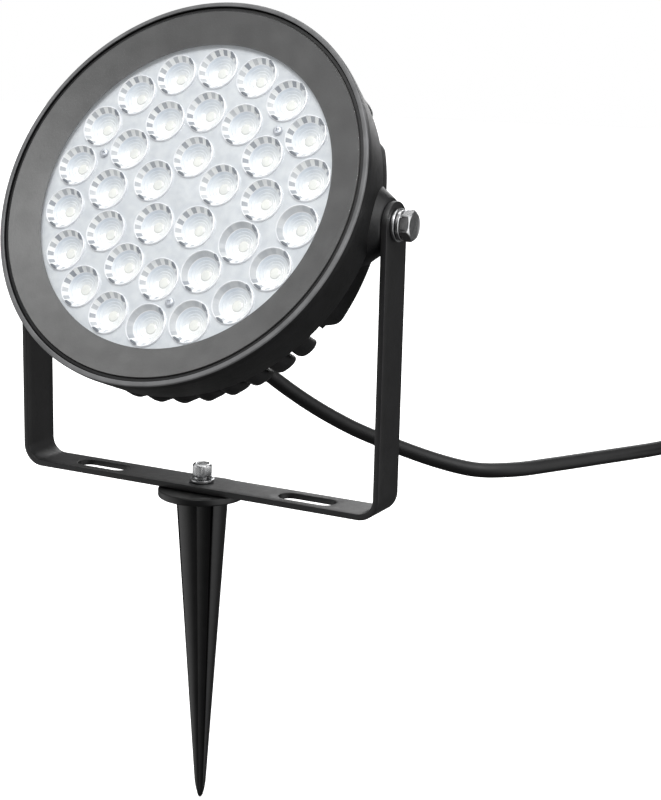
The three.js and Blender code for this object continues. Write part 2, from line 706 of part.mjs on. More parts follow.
// ---------- pivot fasteners, drawn in the yoke's frame about the pivot ----------

function addPivotFasteners(head) {
  const washerStart = YOKE_OUTER_HALF + GAP;
  const springStart = washerStart + M8.flat + GAP;
  const headStart = springStart + M8.spring + GAP;
  for (const [side, label] of [[-1, 'left'], [1, 'right']]) {
    const washer = turnedX(ring(M8.hole, M8.washer, washerStart, washerStart + M8.flat), 24, side);
    addPiece(head, `pivot_flat_washer_${label}`, washer, stainless());
    const spring = springWasher(M8.hole, M8.springRadius, M8.spring).rotateZ(-side * Math.PI / 2);
    spring.translate(side * springStart, 0, 0);
    addPiece(head, `pivot_spring_washer_${label}`, spring, stainless());

    const chamfer = turned([
      [0, headStart],
      [M8.flats, headStart],
      [M8.flats, headStart + M8.head - 3.2],
      [M8.flats / 2 - 0.2, headStart + M8.head],
      [0, headStart + M8.head],
    ], 24);
    const hex = toSolid(hexRod(M8.flats, headStart, headStart + M8.head + 1)).intersect(toSolid(chamfer));
    const shank = toSolid(rod(M8.shank, BOLT_TIP + GAP, headStart + 1, 16));
    const bolt = toGeometry(join([hex, shank])).rotateZ(-side * Math.PI / 2);
    addPiece(head, `pivot_bolt_${label}`, bolt, stainless());
  }
}

function addHead(root) {
  const head = new THREE.Group();
  head.position.z = PIVOT_HEIGHT;
  head.rotation.x = -HEAD_TILT;
  root.add(head);
  addPivotFasteners(head);

  const lamp = new THREE.Group();
  lamp.position.set(0, -FRONT_TO_PIVOT, -PIVOT_ABOVE_CENTRE);
  head.add(lamp);
  addHousing(lamp);
  addGlazing(lamp);
  addOptics(lamp);
  addFixings(lamp);
  addDriver(lamp);
  addRearCover(lamp);
  addGland(lamp);
}

// ---------- supply cord, lying on the soil plane ----------

// Outline of the wound bundle, grown by a clearance.
function coilCorners(grow) {
  const inner = COIL_MEAN_RADIUS - COIL_HALF_WIDTH - grow;
  const outer = COIL_MEAN_RADIUS + COIL_HALF_WIDTH + grow;
  const low = COIL_BOTTOM - grow;
  const high = COIL_BOTTOM + COIL_HEIGHT + grow;
  return [
    [inner + 2, low],
    [outer - 2, low],
    [outer, low + 3],
    [outer, low + 6],
    [outer - 4, high],
    [inner + 4, high],
    [inner, low + 6],
    [inner, low + 3],
  ];
}

const atCoil = (geometry) => geometry.translate(COIL_CENTRE[0], COIL_CENTRE[1], 0);

function addCord(root) {
  const route = smoothCurve(CORD_ROUTE);
  const drop = new Stretch(route, 0, DROP_LENGTH);
  addPiece(root, 'cord_drop', tubeAlong(drop, CORD_RADIUS, 11, 8), cordJacket());
  const coilRoom = toSolid(atCoil(turnedZ(coilCorners(GAP), 36)));
  const run = new Stretch(route, DROP_LENGTH + GAP, route.getLength());
  const laid = toSolid(tubeAlong(run, CORD_RADIUS, 9, 8)).subtract(coilRoom);
  addPiece(root, 'cord_run', toGeometry(laid), cordJacket());
  addPiece(root, 'cord_coil', atCoil(turnedZ(coilCorners(0), 36)), cordJacket());
  const tail = toSolid(tubeAlong(smoothCurve(TAIL_ROUTE), CORD_RADIUS, 7, 8));
  addPiece(root, 'cord_tail', toGeometry(tail.subtract(coilRoom)), cordJacket());

  const tieOuter = new THREE.BoxGeometry(COIL_HALF_WIDTH * 2 + 3, TIE_WIDTH, COIL_HEIGHT + 2.4);
  const tieInner = new THREE.BoxGeometry(COIL_HALF_WIDTH * 2 + 1, TIE_WIDTH + 2, COIL_HEIGHT + 0.6);
  const tie = toSolid(tieOuter).subtract(toSolid(tieInner));
  const tieMesh = addPiece(root, 'cord_tie', toGeometry(tie), blackNylon());
  tieMesh.position.set(COIL_CENTRE[0], COIL_CENTRE[1] + COIL_MEAN_RADIUS, COIL_BOTTOM + COIL_HEIGHT / 2);
  tieMesh.rotation.z = Math.PI / 2;

  addCores(root);
}

// Three stripped cores fan out of the cord's cut end.
function addCores(root) {
  const end = new THREE.Vector3(...TAIL_ROUTE.at(-1));
  const before = new THREE.Vector3(...TAIL_ROUTE.at(-2));
  const ahead = end.clone().sub(before).setZ(0).normalize();
  const across = new THREE.Vector3(-ahead.y, ahead.x, 0);
  const cores = [['brown', 0x6b3a1e, 1], ['green_yellow', 0x7d9a2c, 0], ['blue', 0x2a4f9c, -1]];
  for (const [label, color, side] of cores) {
    const lift = side === 0 ? 1.3 : -0.9;
    const points = [[GAP, 1.35], [10, 1.9], [28, 4.6]].map(([along, spread]) => {
      const point = end.clone().addScaledVector(ahead, along).addScaledVector(across, side * spread);
      return [point.x, point.y, point.z + lift * (side === 0 ? 1 : Math.max(0, 1 - along / 60))];
    });
    addPiece(root, `cord_core_${label}`, tubeAlong(smoothCurve(points), 1.2, 3, 8), coreSleeve(color));
  }
}

// ---------- assembly ----------

const group = new THREE.Group();
addStake(group);
addYoke(group);
addHead(group);
addCord(group);

export default group;
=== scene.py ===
import math

import bmesh
import bpy
from mathutils import Matrix, Vector
from mathutils.geometry import delaunay_2d_cdt


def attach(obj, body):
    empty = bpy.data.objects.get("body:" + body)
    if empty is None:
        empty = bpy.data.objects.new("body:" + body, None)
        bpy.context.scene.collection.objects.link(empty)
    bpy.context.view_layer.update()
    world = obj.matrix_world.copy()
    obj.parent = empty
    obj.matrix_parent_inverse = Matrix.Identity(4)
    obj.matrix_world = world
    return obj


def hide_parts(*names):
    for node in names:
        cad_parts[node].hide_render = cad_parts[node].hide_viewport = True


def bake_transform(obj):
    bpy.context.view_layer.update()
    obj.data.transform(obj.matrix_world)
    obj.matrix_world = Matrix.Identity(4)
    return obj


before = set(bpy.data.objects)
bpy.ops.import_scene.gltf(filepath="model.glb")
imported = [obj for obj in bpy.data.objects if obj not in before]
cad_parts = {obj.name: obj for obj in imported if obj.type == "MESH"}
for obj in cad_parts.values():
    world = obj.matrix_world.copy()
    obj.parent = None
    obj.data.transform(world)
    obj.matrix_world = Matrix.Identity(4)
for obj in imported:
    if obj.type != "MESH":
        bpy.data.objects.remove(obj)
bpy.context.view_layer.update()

SCENE = bpy.context.scene
MM = 0.001

# ---------- dimensions in millimetres, as the CAD has them ----------

BEVEL_STEPS = 3
HEX_POINTS = 96
TURNING_LINES = (900, 900, 60)

HEAD_TILT = math.radians(27.9)
FRONT_TO_PIVOT = 29
PIVOT_ABOVE_CENTRE = 1.2
OUTLET_LEAN = math.radians(30)
OUTLET_DEPTH = 63
OUTLET_DROP = 20

GLASS_RADIUS = 95.9
WINDOW_RADIUS = 79.9
FIN_COUNT = 44
FIN_OUTER_RADIUS = 97.4
FIN_BULB_RADIUS = 5.5
BULB_FROM = 86
CHEEK_HALF_ANGLE = math.radians(36)
CHEEK_RADIUS = 121
CHEEK_AT_PIVOT = 92.5
FIN_END = 46

LENS_RINGS = [(67.7, 18), (44.2, 12), (20, 5)]
LENS_SCREWS = [(56, math.radians(50 + 120 * i)) for i in range(3)]
BOARD_SCREWS = [(81.5, math.radians(20 + 90 * i)) for i in range(4)]
COVER_SCREWS = [(41, math.radians(45 + 90 * i)) for i in range(4)]

STRAP_THICKNESS = 3
STRAP_WIDTH = 22
YOKE_OUTER_HALF = 106.2
YOKE_UNDERSIDE = 4.3
YOKE_BEND_OUTER = 11
PIVOT_HEIGHT = 146.9
SLOT_OFFSET = 61.8
SLOT_LENGTH = 31.5
SLOT_WIDTH = 11.5

SPIKE_LENGTH = 169
SPIKE_TURN = math.radians(39)

CORD_RADIUS = 4.1
CORD_ROUTE = [
    (0, 39.2, 81.8), (0, 45.4, 72.2), (1.2, 50.2, 63.8), (5.4, 55.2, 56.4), (11.3, 60, 50.2),
    (20, 66.5, 42.3), (29.6, 72, 35.3), (39.3, 77.5, 29.1), (48.8, 83.3, 23.6), (71, 94.5, 14.1),
    (88.9, 102.4, 8.1), (103.3, 108.6, 4.8), (111.5, 112.6, 4.1), (119.6, 118.4, 4.1),
    (127.5, 126.8, 4.1), (137.5, 143.2, 4.1), (155.9, 175.1, 4.1), (174.6, 208.2, 4.1),
    (187.6, 232.9, 4.4), (202.3, 250.6, 5.1),
]
COIL_CENTRE = (252, 226)
COIL_ENTRY = 128
COIL_SWEEP = 853
COIL_STEP = 12
OUTER_TURN, INNER_TURN, TOP_TURN = 49.5, 40.9, 45
LOW_TURNS, TOP_HEIGHT, TOP_SETTLED = 5.3, 13.6, 12.6
TAIL_ROUTE = [
    (297.8, 212, 13.5), (300.4, 202.1, 13.6), (303.4, 192.6, 11.5), (307, 183.4, 8),
    (311, 175, 5.4), (315.4, 166.4, 4.2), (320.2, 159, 4.1), (325, 152, 4.1),
]

ROOT = Matrix.Scale(MM, 4)
UPRIGHT = ROOT @ Matrix.Rotation(math.pi / 2, 4, "X")
HEAD = Matrix.Translation((0, 0, PIVOT_HEIGHT * MM)) @ Matrix.Rotation(-HEAD_TILT, 4, "X") @ ROOT
LAMP = HEAD @ Matrix.Translation((0, -FRONT_TO_PIVOT, -PIVOT_ABOVE_CENTRE))
OUTLET = LAMP @ Matrix.Translation((0, OUTLET_DEPTH, -OUTLET_DROP)) @ Matrix.Rotation(-OUTLET_LEAN, 4, "X")


def sideways(side):
    """The head's frame with +Y turned to point along side * X."""
    return HEAD @ Matrix.Rotation(-side * math.pi / 2, 4, "Z")


# ---------- outlines ----------

def polar(radius, angle):
    return (radius * math.sin(angle), radius * math.cos(angle))


def circle(radius, count, centre=(0, 0)):
    turns = (2 * math.pi * i / count for i in range(count))
    return [(centre[0] + radius * math.cos(a), centre[1] + radius * math.sin(a)) for a in turns]


def arc(radius, start, end, steps, centre=(0, 0)):
    turns = (start + (end - start) * i / steps for i in range(steps + 1))
    return [(centre[0] + radius * math.cos(a), centre[1] + radius * math.sin(a)) for a in turns]


def rounded(corners, radius, steps=4):
    """An open line of corners with each inner one drawn as a small curve."""
    points = [Vector(corners[0])]
    for before, corner, after in zip(corners, corners[1:], corners[2:]):
        before, corner, after = Vector(before), Vector(corner), Vector(after)
        reach = min(radius, 0.45 * (before - corner).length, 0.45 * (after - corner).length)
        start = corner + (before - corner).normalized() * reach
        end = corner + (after - corner).normalized() * reach
        for i in range(steps + 1):
            t = i / steps
            points.append(start * (1 - t) ** 2 + corner * 2 * t * (1 - t) + end * t * t)
    points.append(Vector(corners[-1]))
    return [tuple(p) for p in points]


def inset(loop, amount):
    """A closed outline moved to its left by amount."""
    moved = []
    for i, point in enumerate(loop):
        ahead = Vector(loop[(i + 1) % len(loop)]) - Vector(point)
        behind = Vector(point) - Vector(loop[i - 1])
        left = Vector((-ahead.y, ahead.x)).normalized() + Vector((-behind.y, behind.x)).normalized()
        left = left * (2 / max(left.length_squared, 1))
        moved.append(tuple(Vector(point) + left * amount))
    return moved


def inside(point, loop):
    """True if the point is within a closed outline."""
    x, y = point
    crossed = False
    for (ax, ay), (bx, by) in zip(loop, loop[1:] + loop[:1]):
        if (ay > y) != (by > y) and x < ax + (bx - ax) * (y - ay) / (by - ay):
            crossed = not crossed
    return crossed


def filled(loops, extra=()):
    """Triangles that fill the first outline and leave the others open, with extra points inside."""
    points, edges = [], []
    for loop in loops:
        first = len(points)
        points += [Vector(p) for p in loop]
        edges += [(first + i, first + (i + 1) % len(loop)) for i in range(len(loop))]
    points += [Vector(p) for p in extra]
    spots, _, found = delaunay_2d_cdt(points, edges, [], 1, 1e-6)[:3]
    middles = [sum((spots[i] for i in face), Vector((0, 0))) / len(face) for face in found]
    kept = [list(f) for f, m in zip(found, middles) if not any(inside(m, hole) for hole in loops[1:])]
    return [tuple(p) for p in spots], kept


# ---------- mesh building ----------

class Shape:
    """Points as their place matrix carries them, faces, and the material and tint of each face."""

    def __init__(self):
        self.points = []
        self.faces = []
        self.kinds = []
        self.tints = []
        self.tint = (1, 1, 1)

    def add(self, points, faces, kind=0, place=Matrix()):
        first = len(self.points)
        self.points += [place @ Vector(p) for p in points]
        self.faces += [[first + i for i in face] for face in faces]
        self.kinds += [kind] * len(faces)
        self.tints += [self.tint] * len(faces)
        return self

    def skin(self, rows, kind=0, place=Matrix(), closed=False):
        """Faces between neighbouring rows of equal length."""
        count = len(rows[0])
        pairs = list(range(len(rows) - 1)) + ([-1] if closed else [])
        faces = []
        for a in pairs:
            low, high = a % len(rows) * count, (a + 1) % len(rows) * count
            for i in range(count):
                j = (i + 1) % count
                faces.append([low + i, low + j, high + j, high + i])
        return self.add([p for row in rows for p in row], faces, kind, place)

    def lathe(self, profile, count, kind=0, place=Matrix(), closed=False):
        """Turns (radius, height) corners about the Y axis."""
        rows = []
        for radius, height in profile:
            turns = (2 * math.pi * i / count for i in range(count))
            rows.append([(radius * math.sin(a), height, radius * math.cos(a)) for a in turns])
        return self.skin(rows, kind, place, closed)

    def slab(self, loops, low, high, bevel=0, kind=0, place=Matrix(), extra=()):
        """A flat plate with holes from Y = low to Y = high, its first outline anticlockwise."""
        levels = [(bevel, low)]
        for i in range(1, BEVEL_STEPS + 1 if bevel else 1):
            turn = math.pi / 2 * i / BEVEL_STEPS
            levels.append((bevel * (1 - math.sin(turn)), low + bevel * (1 - math.cos(turn))))
        levels += [(move, low + high - y) for move, y in reversed(levels)]
        for number, loop in enumerate(loops):
            sign = -1 if number else 1
            moved = [[(x, y, z) for x, z in inset(loop, sign * move)] for move, y in levels]
            self.skin(moved, kind, place)
        caps, faces = filled([inset(loop, bevel * (-1 if i else 1)) for i, loop in enumerate(loops)], extra)
        self.add([(x, low, z) for x, z in caps], faces, kind, place)
        return self.add([(x, high, z) for x, z in caps], [f[::-1] for f in faces], kind, place)

    def tube(self, points, radius, sides, kind=0, place=Matrix()):
        """A round tube along points, closed at both ends."""
        points = [Vector(p) for p in points]
        normal = Vector((0.13, 0.2, 1))
        rows = []
        for i, point in enumerate(points):
            ahead = (points[min(i + 1, len(points) - 1)] - points[max(i - 1, 0)]).normalized()
            normal = (normal - ahead * normal.dot(ahead)).normalized()
            across = ahead.cross(normal)
            turns = (2 * math.pi * k / sides for k in range(sides))
            rows.append([point + (normal * math.cos(a) + across * math.sin(a)) * radius for a in turns])
        return self.skin([[points[0]] * sides, *rows, [points[-1]] * sides], kind, place)

    def piece(self, name, materials, body, replaced=(), slot=None, sharp=32):
        """The finished Blender object, riding on its body."""
        mesh = bpy.data.meshes.new(name)
        mesh.from_pydata([tuple(p) for p in self.points], [], self.faces)
        for material in materials:
            mesh.materials.append(material)
        mesh.polygons.foreach_set("material_index", self.kinds)
        colors = mesh.color_attributes.new(name="tint", type="FLOAT_COLOR", domain="CORNER")
        painted = [c for f, t in zip(self.faces, self.tints) for _ in f for c in (*t, 1)]
        colors.data.foreach_set("color", painted)
        work = bmesh.new()
        work.from_mesh(mesh)
        bmesh.ops.remove_doubles(work, verts=work.verts, dist=1e-7)
        bmesh.ops.dissolve_degenerate(work, edges=work.edges, dist=1e-8)
        bmesh.ops.recalc_face_normals(work, faces=work.faces)
        work.to_mesh(mesh)
        work.free()
        mesh.polygons.foreach_set("use_smooth", [True] * len(mesh.polygons))
        mesh.set_sharp_from_angle(angle=math.radians(sharp))
        made = bpy.data.objects.new(name, mesh)
        SCENE.collection.objects.link(made)
        if body:
            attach(made, body)
        if replaced:
            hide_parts(*replaced)
        return made


# ---------- curves ----------

def smooth_line(points, per_span=12):
    """The centripetal Catmull-Rom curve through points, as the CAD draws it."""
    points = [Vector(p) for p in points]
    ends = [points[0] * 2 - points[1], *points, points[-1] * 2 - points[-2]]
    line = []
    for a, b, c, d in zip(ends, ends[1:], ends[2:], ends[3:]):
        t1 = (b - a).length ** 0.5
        t2 = t1 + (c - b).length ** 0.5
        t3 = t2 + (d - c).length ** 0.5
        for i in range(per_span):
            t = t1 + (t2 - t1) * i / per_span
            ab = a * ((t1 - t) / t1) + b * (t / t1)
            bc = b * ((t2 - t) / (t2 - t1)) + c * ((t - t1) / (t2 - t1))
            cd = c * ((t3 - t) / (t3 - t2)) + d * ((t - t2) / (t3 - t2))
            abc = ab * ((t2 - t) / t2) + bc * (t / t2)
            bcd = bc * ((t3 - t) / (t3 - t1)) + cd * ((t - t1) / (t3 - t1))
            line.append(abc * ((t2 - t) / (t2 - t1)) + bcd * ((t - t1) / (t2 - t1)))
    return [*line, points[-1]]


def evenly(line, step):
    """The same line with its points a step apart."""
    lengths = [(b - a).length for a, b in zip(line, line[1:])]
    count = round(sum(lengths) / step)
    spaced, index, done = [], 0, 0
    for i in range(count + 1):
        wanted = sum(lengths) * i / count
        while index < len(lengths) - 1 and done + lengths[index] < wanted:
            done += lengths[index]
            index += 1
        share = (wanted - done) / lengths[index]
        spaced.append(line[index].lerp(line[index + 1], min(share, 1)))
    return spaced


def eased(value, marks):
    """Moves smoothly between (value, level) marks."""
    for (start, low), (end, high) in zip(marks, marks[1:]):
        if value < end:
            share = max(0, (value - start) / (end - start))
            return low + (high - low) * share * share * (3 - 2 * share)
    return marks[-1][1]


def coil_turns():
    """Outer low turn, inner low turn, then half a turn that lies on both."""
    widths = [(0, OUTER_TURN), (290, OUTER_TURN), (352, INNER_TURN), (560, INNER_TURN), (650, TOP_TURN),
              (999, TOP_TURN)]
    heights = [(0, LOW_TURNS), (560, LOW_TURNS), (650, TOP_HEIGHT), (720, TOP_SETTLED), (999, TOP_SETTLED)]
    turns = []
    for turned in range(0, COIL_SWEEP, COIL_STEP):
        radius, height = eased(turned, widths), eased(turned, heights)
        x, y = arc(radius, math.radians(COIL_ENTRY - turned), 0, 1, COIL_CENTRE)[0]
        turns.append((x, y, height))
    return turns


# ---------- camera ----------

def add_camera():
    data = bpy.data.cameras.new("view")
    data.lens = 70.78
    data.clip_start, data.clip_end = 0.01, 50
    camera = bpy.data.objects.new("view", data)
    SCENE.collection.objects.link(camera)
    right = Vector((0.88467, 0.46559, 0.02398))
    up = Vector((-0.11989, 0.17748, 0.97679))
    turned = Matrix((right, up, right.cross(up))).transposed().to_4x4()
    camera.matrix_world = Matrix.Translation((0.41922, -0.66536, 0.22257)) @ turned
    SCENE.camera = camera


add_camera()

# ---------- materials ----------

class Nodes:
    """A material's node tree, with short calls for what is used here."""

    def __init__(self, name):
        self.material = bpy.data.materials.new(name)
        self.material.use_nodes = True
        self.tree = self.material.node_tree
        self.shader = self.tree.nodes["Principled BSDF"]
        self.output = self.tree.nodes["Material Output"]
        self.place = self.add("ShaderNodeTexCoord").outputs["Object"]

    def add(self, kind, inputs=(), **settings):
        node = self.tree.nodes.new(kind)
        for key, value in settings.items():
            setattr(node, key, value)
        for key, value in dict(inputs).items():
            if isinstance(value, bpy.types.NodeSocket):
                self.tree.links.new(value, node.inputs[key])
            else:
                node.inputs[key].default_value = value
        return node

    def set(self, **values):
        for key, value in values.items():
            self.shader.inputs[key.replace("_", " ")].default_value = value

    def link(self, source, target):
        self.tree.links.new(source, self.shader.inputs[target])

    def stretched(self, scale):
        return self.add("ShaderNodeMapping", {"Vector": self.place, "Scale": scale}).outputs[0]

    def noise(self, scale, detail=3, vector=None):
        inputs = {"Vector": vector or self.place, "Scale": scale, "Detail": detail}
        return self.add("ShaderNodeTexNoise", inputs).outputs["Fac"]

    def ramp(self, factor, low, high, start=0.35, end=0.65):
        node = self.add("ShaderNodeValToRGB", {"Fac": factor})
        first, last = node.color_ramp.elements
        first.position, last.position = start, end
        first.color, last.color = (*low, 1), (*high, 1)
        return node.outputs["Color"]

    def range(self, factor, low, high):
        return self.add("ShaderNodeMapRange", {"Value": factor, "To Min": low, "To Max": high}).outputs[0]

    def bump(self, height, strength, distance, under=None):
        inputs = {"Height": height, "Strength": strength, "Distance": distance}
        if under:
            inputs["Normal"] = under
        return self.add("ShaderNodeBump", inputs).outputs["Normal"]


def coated(name, low, high, rough, grain, relief, **extra):
    """Paint or moulding: blotchy colour, uneven gloss and a fine raised grain."""
    nodes = Nodes(name)
    nodes.link(nodes.ramp(nodes.noise(90, 5), low, high), "Base Color")
    nodes.link(nodes.range(nodes.noise(260, 3), rough - 0.06, rough + 0.08), "Roughness")
    fine = nodes.bump(nodes.noise(grain, 2), relief, 0.00012)
    nodes.link(nodes.bump(nodes.noise(grain / 7, 2), relief * 0.6, 0.0004, fine), "Normal")
    nodes.set(**extra)
    return nodes.material


def machined(name, low, high, rough):
    """Bare metal with fine turning lines and stains."""
    nodes = Nodes(name)
    nodes.set(Metallic=1.0)
    lines = nodes.noise(3, 4, nodes.stretched(TURNING_LINES))
    nodes.link(nodes.ramp(nodes.noise(350, 4), low, high, 0.3, 0.7), "Base Color")
    nodes.link(nodes.range(lines, rough - 0.08, rough + 0.14), "Roughness")
    nodes.link(nodes.bump(lines, 0.18, 0.00006), "Normal")
    return nodes.material


def clear(name, tint, ior, rough, film):
    """Clear sheet that lets lamps through: a gloss over a see-through body, with no gloss on its inside faces."""
    nodes = Nodes(name)
    see = nodes.add("ShaderNodeBsdfTransparent", {"Color": (*tint, 1)})
    smear = nodes.range(nodes.noise(25, 3), rough * 0.6, rough * 1.6)
    gloss = nodes.add("ShaderNodeBsdfGlossy", {"Roughness": smear})
    edge = nodes.add("ShaderNodeFresnel", {"IOR": ior})
    mixed = nodes.add("ShaderNodeMixShader", {0: edge.outputs[0], 1: see.outputs[0], 2: gloss.outputs[0]})
    inside = nodes.add("ShaderNodeNewGeometry").outputs["Backfacing"]
    body = nodes.add("ShaderNodeMixShader", {0: inside, 1: mixed.outputs[0], 2: see.outputs[0]})
    haze = nodes.add("ShaderNodeBsdfDiffuse", {"Color": (0.8, 0.84, 0.9, 1)})
    final = nodes.add("ShaderNodeMixShader", {0: film, 1: body.outputs[0], 2: haze.outputs[0]})
    nodes.tree.links.new(final.outputs[0], nodes.output.inputs["Surface"])
    nodes.tree.nodes.remove(nodes.shader)
    return nodes.material


def sleeve(name, color, second=None):
    """Insulated wire: slightly blotchy colour, or two colours in stripes."""
    nodes = Nodes(name)
    dark = tuple(c * 0.7 for c in color)
    base = nodes.ramp(nodes.noise(400, 3), dark, color)
    if second:
        wave = nodes.add("ShaderNodeTexWave", {"Vector": nodes.place, "Scale": 130.0}).outputs["Fac"]
        base = nodes.ramp(wave, color, second, 0.48, 0.52)
    nodes.link(base, "Base Color")
    nodes.link(nodes.range(nodes.noise(700), 0.3, 0.5), "Roughness")
    nodes.link(nodes.bump(nodes.noise(1500), 0.15, 0.0001), "Normal")
    return nodes.material


def acrylic_with_painted_light():
    """Moulded optic: colour from the mesh, which holds painted reflections and painted shade, with flow marks, a
    faint painted glow that lifts its shade, and a clear coat.
    """
    nodes = Nodes("lens_optic")
    tint = nodes.add("ShaderNodeVertexColor", layer_name="tint").outputs["Color"]
    cloud = nodes.ramp(nodes.noise(220, 3), (0.64, 0.65, 0.66), (0.72, 0.725, 0.72))
    mixed = nodes.add("ShaderNodeMix", {0: 1.0, 6: tint, 7: cloud}, data_type="RGBA", blend_type="MULTIPLY")
    nodes.link(mixed.outputs[2], "Base Color")
    # Painted glow: the optic gives off light in its own mesh colour, at the emission strength set below, though
    # the lamp is off.
    nodes.link(mixed.outputs[2], "Emission Color")
    nodes.link(nodes.range(nodes.noise(500), 0.12, 0.26), "Roughness")
    nodes.link(nodes.bump(nodes.noise(900, 2), 0.08, 0.0001), "Normal")
    nodes.set(Coat_Weight=0.6, Coat_Roughness=0.08, Emission_Strength=0.3)
    return nodes.material


def circuit_board():
    """White solder mask with faint copper tracks under it."""
    nodes = Nodes("circuit_board")
    tracks = nodes.add("ShaderNodeTexVoronoi", {"Vector": nodes.place, "Scale": 95.0},
                       feature="DISTANCE_TO_EDGE")
    nodes.link(nodes.ramp(tracks.outputs[0], (0.66, 0.69, 0.73), (0.84, 0.86, 0.9), 0.02, 0.06), "Base Color")
    nodes.link(nodes.bump(tracks.outputs[0], 0.1, 0.0001), "Normal")
    nodes.link(nodes.range(nodes.noise(400), 0.35, 0.5), "Roughness")
    return nodes.material


POWDER = coated("powder_coat", (0.0075, 0.0076, 0.008), (0.013, 0.0132, 0.014), 0.42, 2600, 0.35)
STRAP_PAINT = coated("strap_paint", (0.0085, 0.0085, 0.009), (0.0125, 0.0125, 0.0132), 0.4, 3200, 0.25)
NYLON = coated("black_nylon", (0.0022, 0.0022, 0.0024), (0.0045, 0.0045, 0.0048), 0.33, 1500, 0.2)
RUBBER = coated("black_rubber", (0.005, 0.005, 0.0052), (0.009, 0.009, 0.0095), 0.62, 1900, 0.3)
JACKET = coated("cord_jacket", (0.0028, 0.0028, 0.0032), (0.0052, 0.0052, 0.0058), 0.5, 1700, 0.3)
# The rim's front face is the same powder coat in a much lighter colour: a painted highlight where its edge
# catches the light.
RIM_PAINTED_HIGHLIGHT = coated("rim_painted_highlight", (0.1, 0.101, 0.103), (0.15, 0.151, 0.154), 0.36, 2600, 0.3)
PRINT = coated("border_print", (0.072, 0.071, 0.07), (0.092, 0.091, 0.09), 0.38, 5200, 0.2)
STAINLESS = machined("stainless", (0.62, 0.63, 0.64), (0.8, 0.8, 0.81), 0.17)
DULL_STEEL = machined("zinc_steel", (0.6, 0.62, 0.66), (0.72, 0.74, 0.78), 0.55)
BRASS = machined("brass", (0.5, 0.34, 0.12), (0.66, 0.48, 0.2), 0.32)
COPPER = machined("copper_strands", (0.62, 0.26, 0.13), (0.8, 0.4, 0.22), 0.3)
GLASS = clear("toughened_glass", (0.99, 0.993, 0.992), 1.32, 0.03, 0.015)
OPTIC = acrylic_with_painted_light()
BOARD = circuit_board()
CASE = coated("driver_case", (0.62, 0.6, 0.54), (0.72, 0.7, 0.65), 0.5, 900, 0.3)
PHOSPHOR = coated("phosphor", (0.85, 0.66, 0.25), (0.95, 0.8, 0.42), 0.45, 2500, 0.3)
BROWN = sleeve("brown_sleeve", (0.16, 0.06, 0.025))
BLUE = sleeve("blue_sleeve", (0.03, 0.1, 0.42))
EARTH = sleeve("earth_sleeve", (0.05, 0.26, 0.04), (0.75, 0.62, 0.04))
RED = sleeve("red_sleeve", (0.5, 0.02, 0.015))
BLACK = sleeve("black_sleeve", (0.012, 0.012, 0.012))

# ---------- supply cord, coil, tie and cores ----------

def add_tie():
    """A nylon strap round the wound bundle with its ratchet head and a cut tail."""
    shape = Shape()
    middle = Vector((COIL_CENTRE[0], COIL_CENTRE[1] + 45, 8.9))
    loop = rounded([(0, 9.4), (9.2, 9.4), (9.2, -8.6), (-9.2, -8.6), (-9.2, 9.4), (0, 9.4)], 5, 5)
    rows = []
    for y, z in loop[:-1]:
        outer = Vector((0, y, z)) * 1.07
        inner = Vector((0, y, z))
        rows.append([(x, p.y, p.z) for p, x in ((inner, -2.3), (outer, -2), (outer, 2), (inner, 2.3))])
    shape.skin(rows, 0, ROOT @ Matrix.Translation(middle), closed=True)
    head = ROOT @ Matrix.Translation(middle + Vector((0, 5.2, 10.2)))
    shape.slab([[(-3.4, -2.6), (3.4, -2.6), (3.4, 2.6), (-3.4, 2.6)]], -3, 3, 0.7, 0, head)
    tail = [(0, 5 + 2 * i, 10.4 + 0.12 * i * i) for i in range(5)]
    shape.skin([[(x, y, z + h) for x, h in ((-1.9, 0), (1.9, 0), (1.9, 0.9), (-1.9, 0.9))] for _, y, z in tail],
               0, ROOT @ Matrix.Translation(middle - Vector((0, 0, 1))))
    return shape.piece("cord_tie_strap", [NYLON], "yoke", ["cord_tie"], "black_nylon")


def add_cores():
    """Three insulated cores fan out of the jacket's cut end, each with bare strands at its tip."""
    end, before = Vector(TAIL_ROUTE[-1]), Vector(TAIL_ROUTE[-2])
    ahead = (end - before).normalized()
    across = Vector((-ahead.y, ahead.x, 0))
    cores = []
    for name, side, material in (("brown", 1, BROWN), ("green_yellow", 0, EARTH), ("blue", -1, BLUE)):
        lift = 1.3 if side == 0 else -0.9
        marks = [(-5, 1.3), (0, 1.35), (10, 1.9), (20, 3.2), (25, 4.1), (31, 4.9)]
        line = [end + ahead * far + across * side * wide + Vector((0, 0, lift)) for far, wide in marks]
        curve = smooth_line(line, 5)
        shape = Shape().tube(curve[:-5], 1.2, 14, 0, ROOT)
        for strand in range(6):
            turn = strand * math.pi / 3
            offset = across * math.cos(turn) * 0.45 + Vector((0, 0, 0.45 * math.sin(turn)))
            shape.tube([p + offset for p in curve[-7:]], 0.26, 6, 1, ROOT)
        slot = f"core_{name}"
        cores.append(shape.piece(f"core_{name}", [material, COPPER], "yoke", [f"cord_core_{name}"], slot))
    return cores


def add_strain_relief():
    """A ribbed rubber sleeve that tapers from the gland's nut onto the cord."""
    profile = [(4.2, 11.5), (5.2, 11.5), (5.2, 15.9)]
    for i in range(6):
        wide, low = 6.6 - 0.28 * i, 15.9 + 3.1 * i
        profile += [(wide - 0.55, low), (wide, low + 0.5), (wide - 0.1, low + 1.9), (wide - 0.75, low + 2.3)]
    profile += [(5.0, 34.6), (4.75, 35.4), (4.2, 35.6)]
    shape = Shape().lathe(rounded([*profile, profile[0]], 0.35, 2)[:-1], 48, 0, OUTLET, closed=True)
    return shape.piece("strain_relief_sleeve", [RUBBER], "head", ["strain_relief"], "black_rubber")


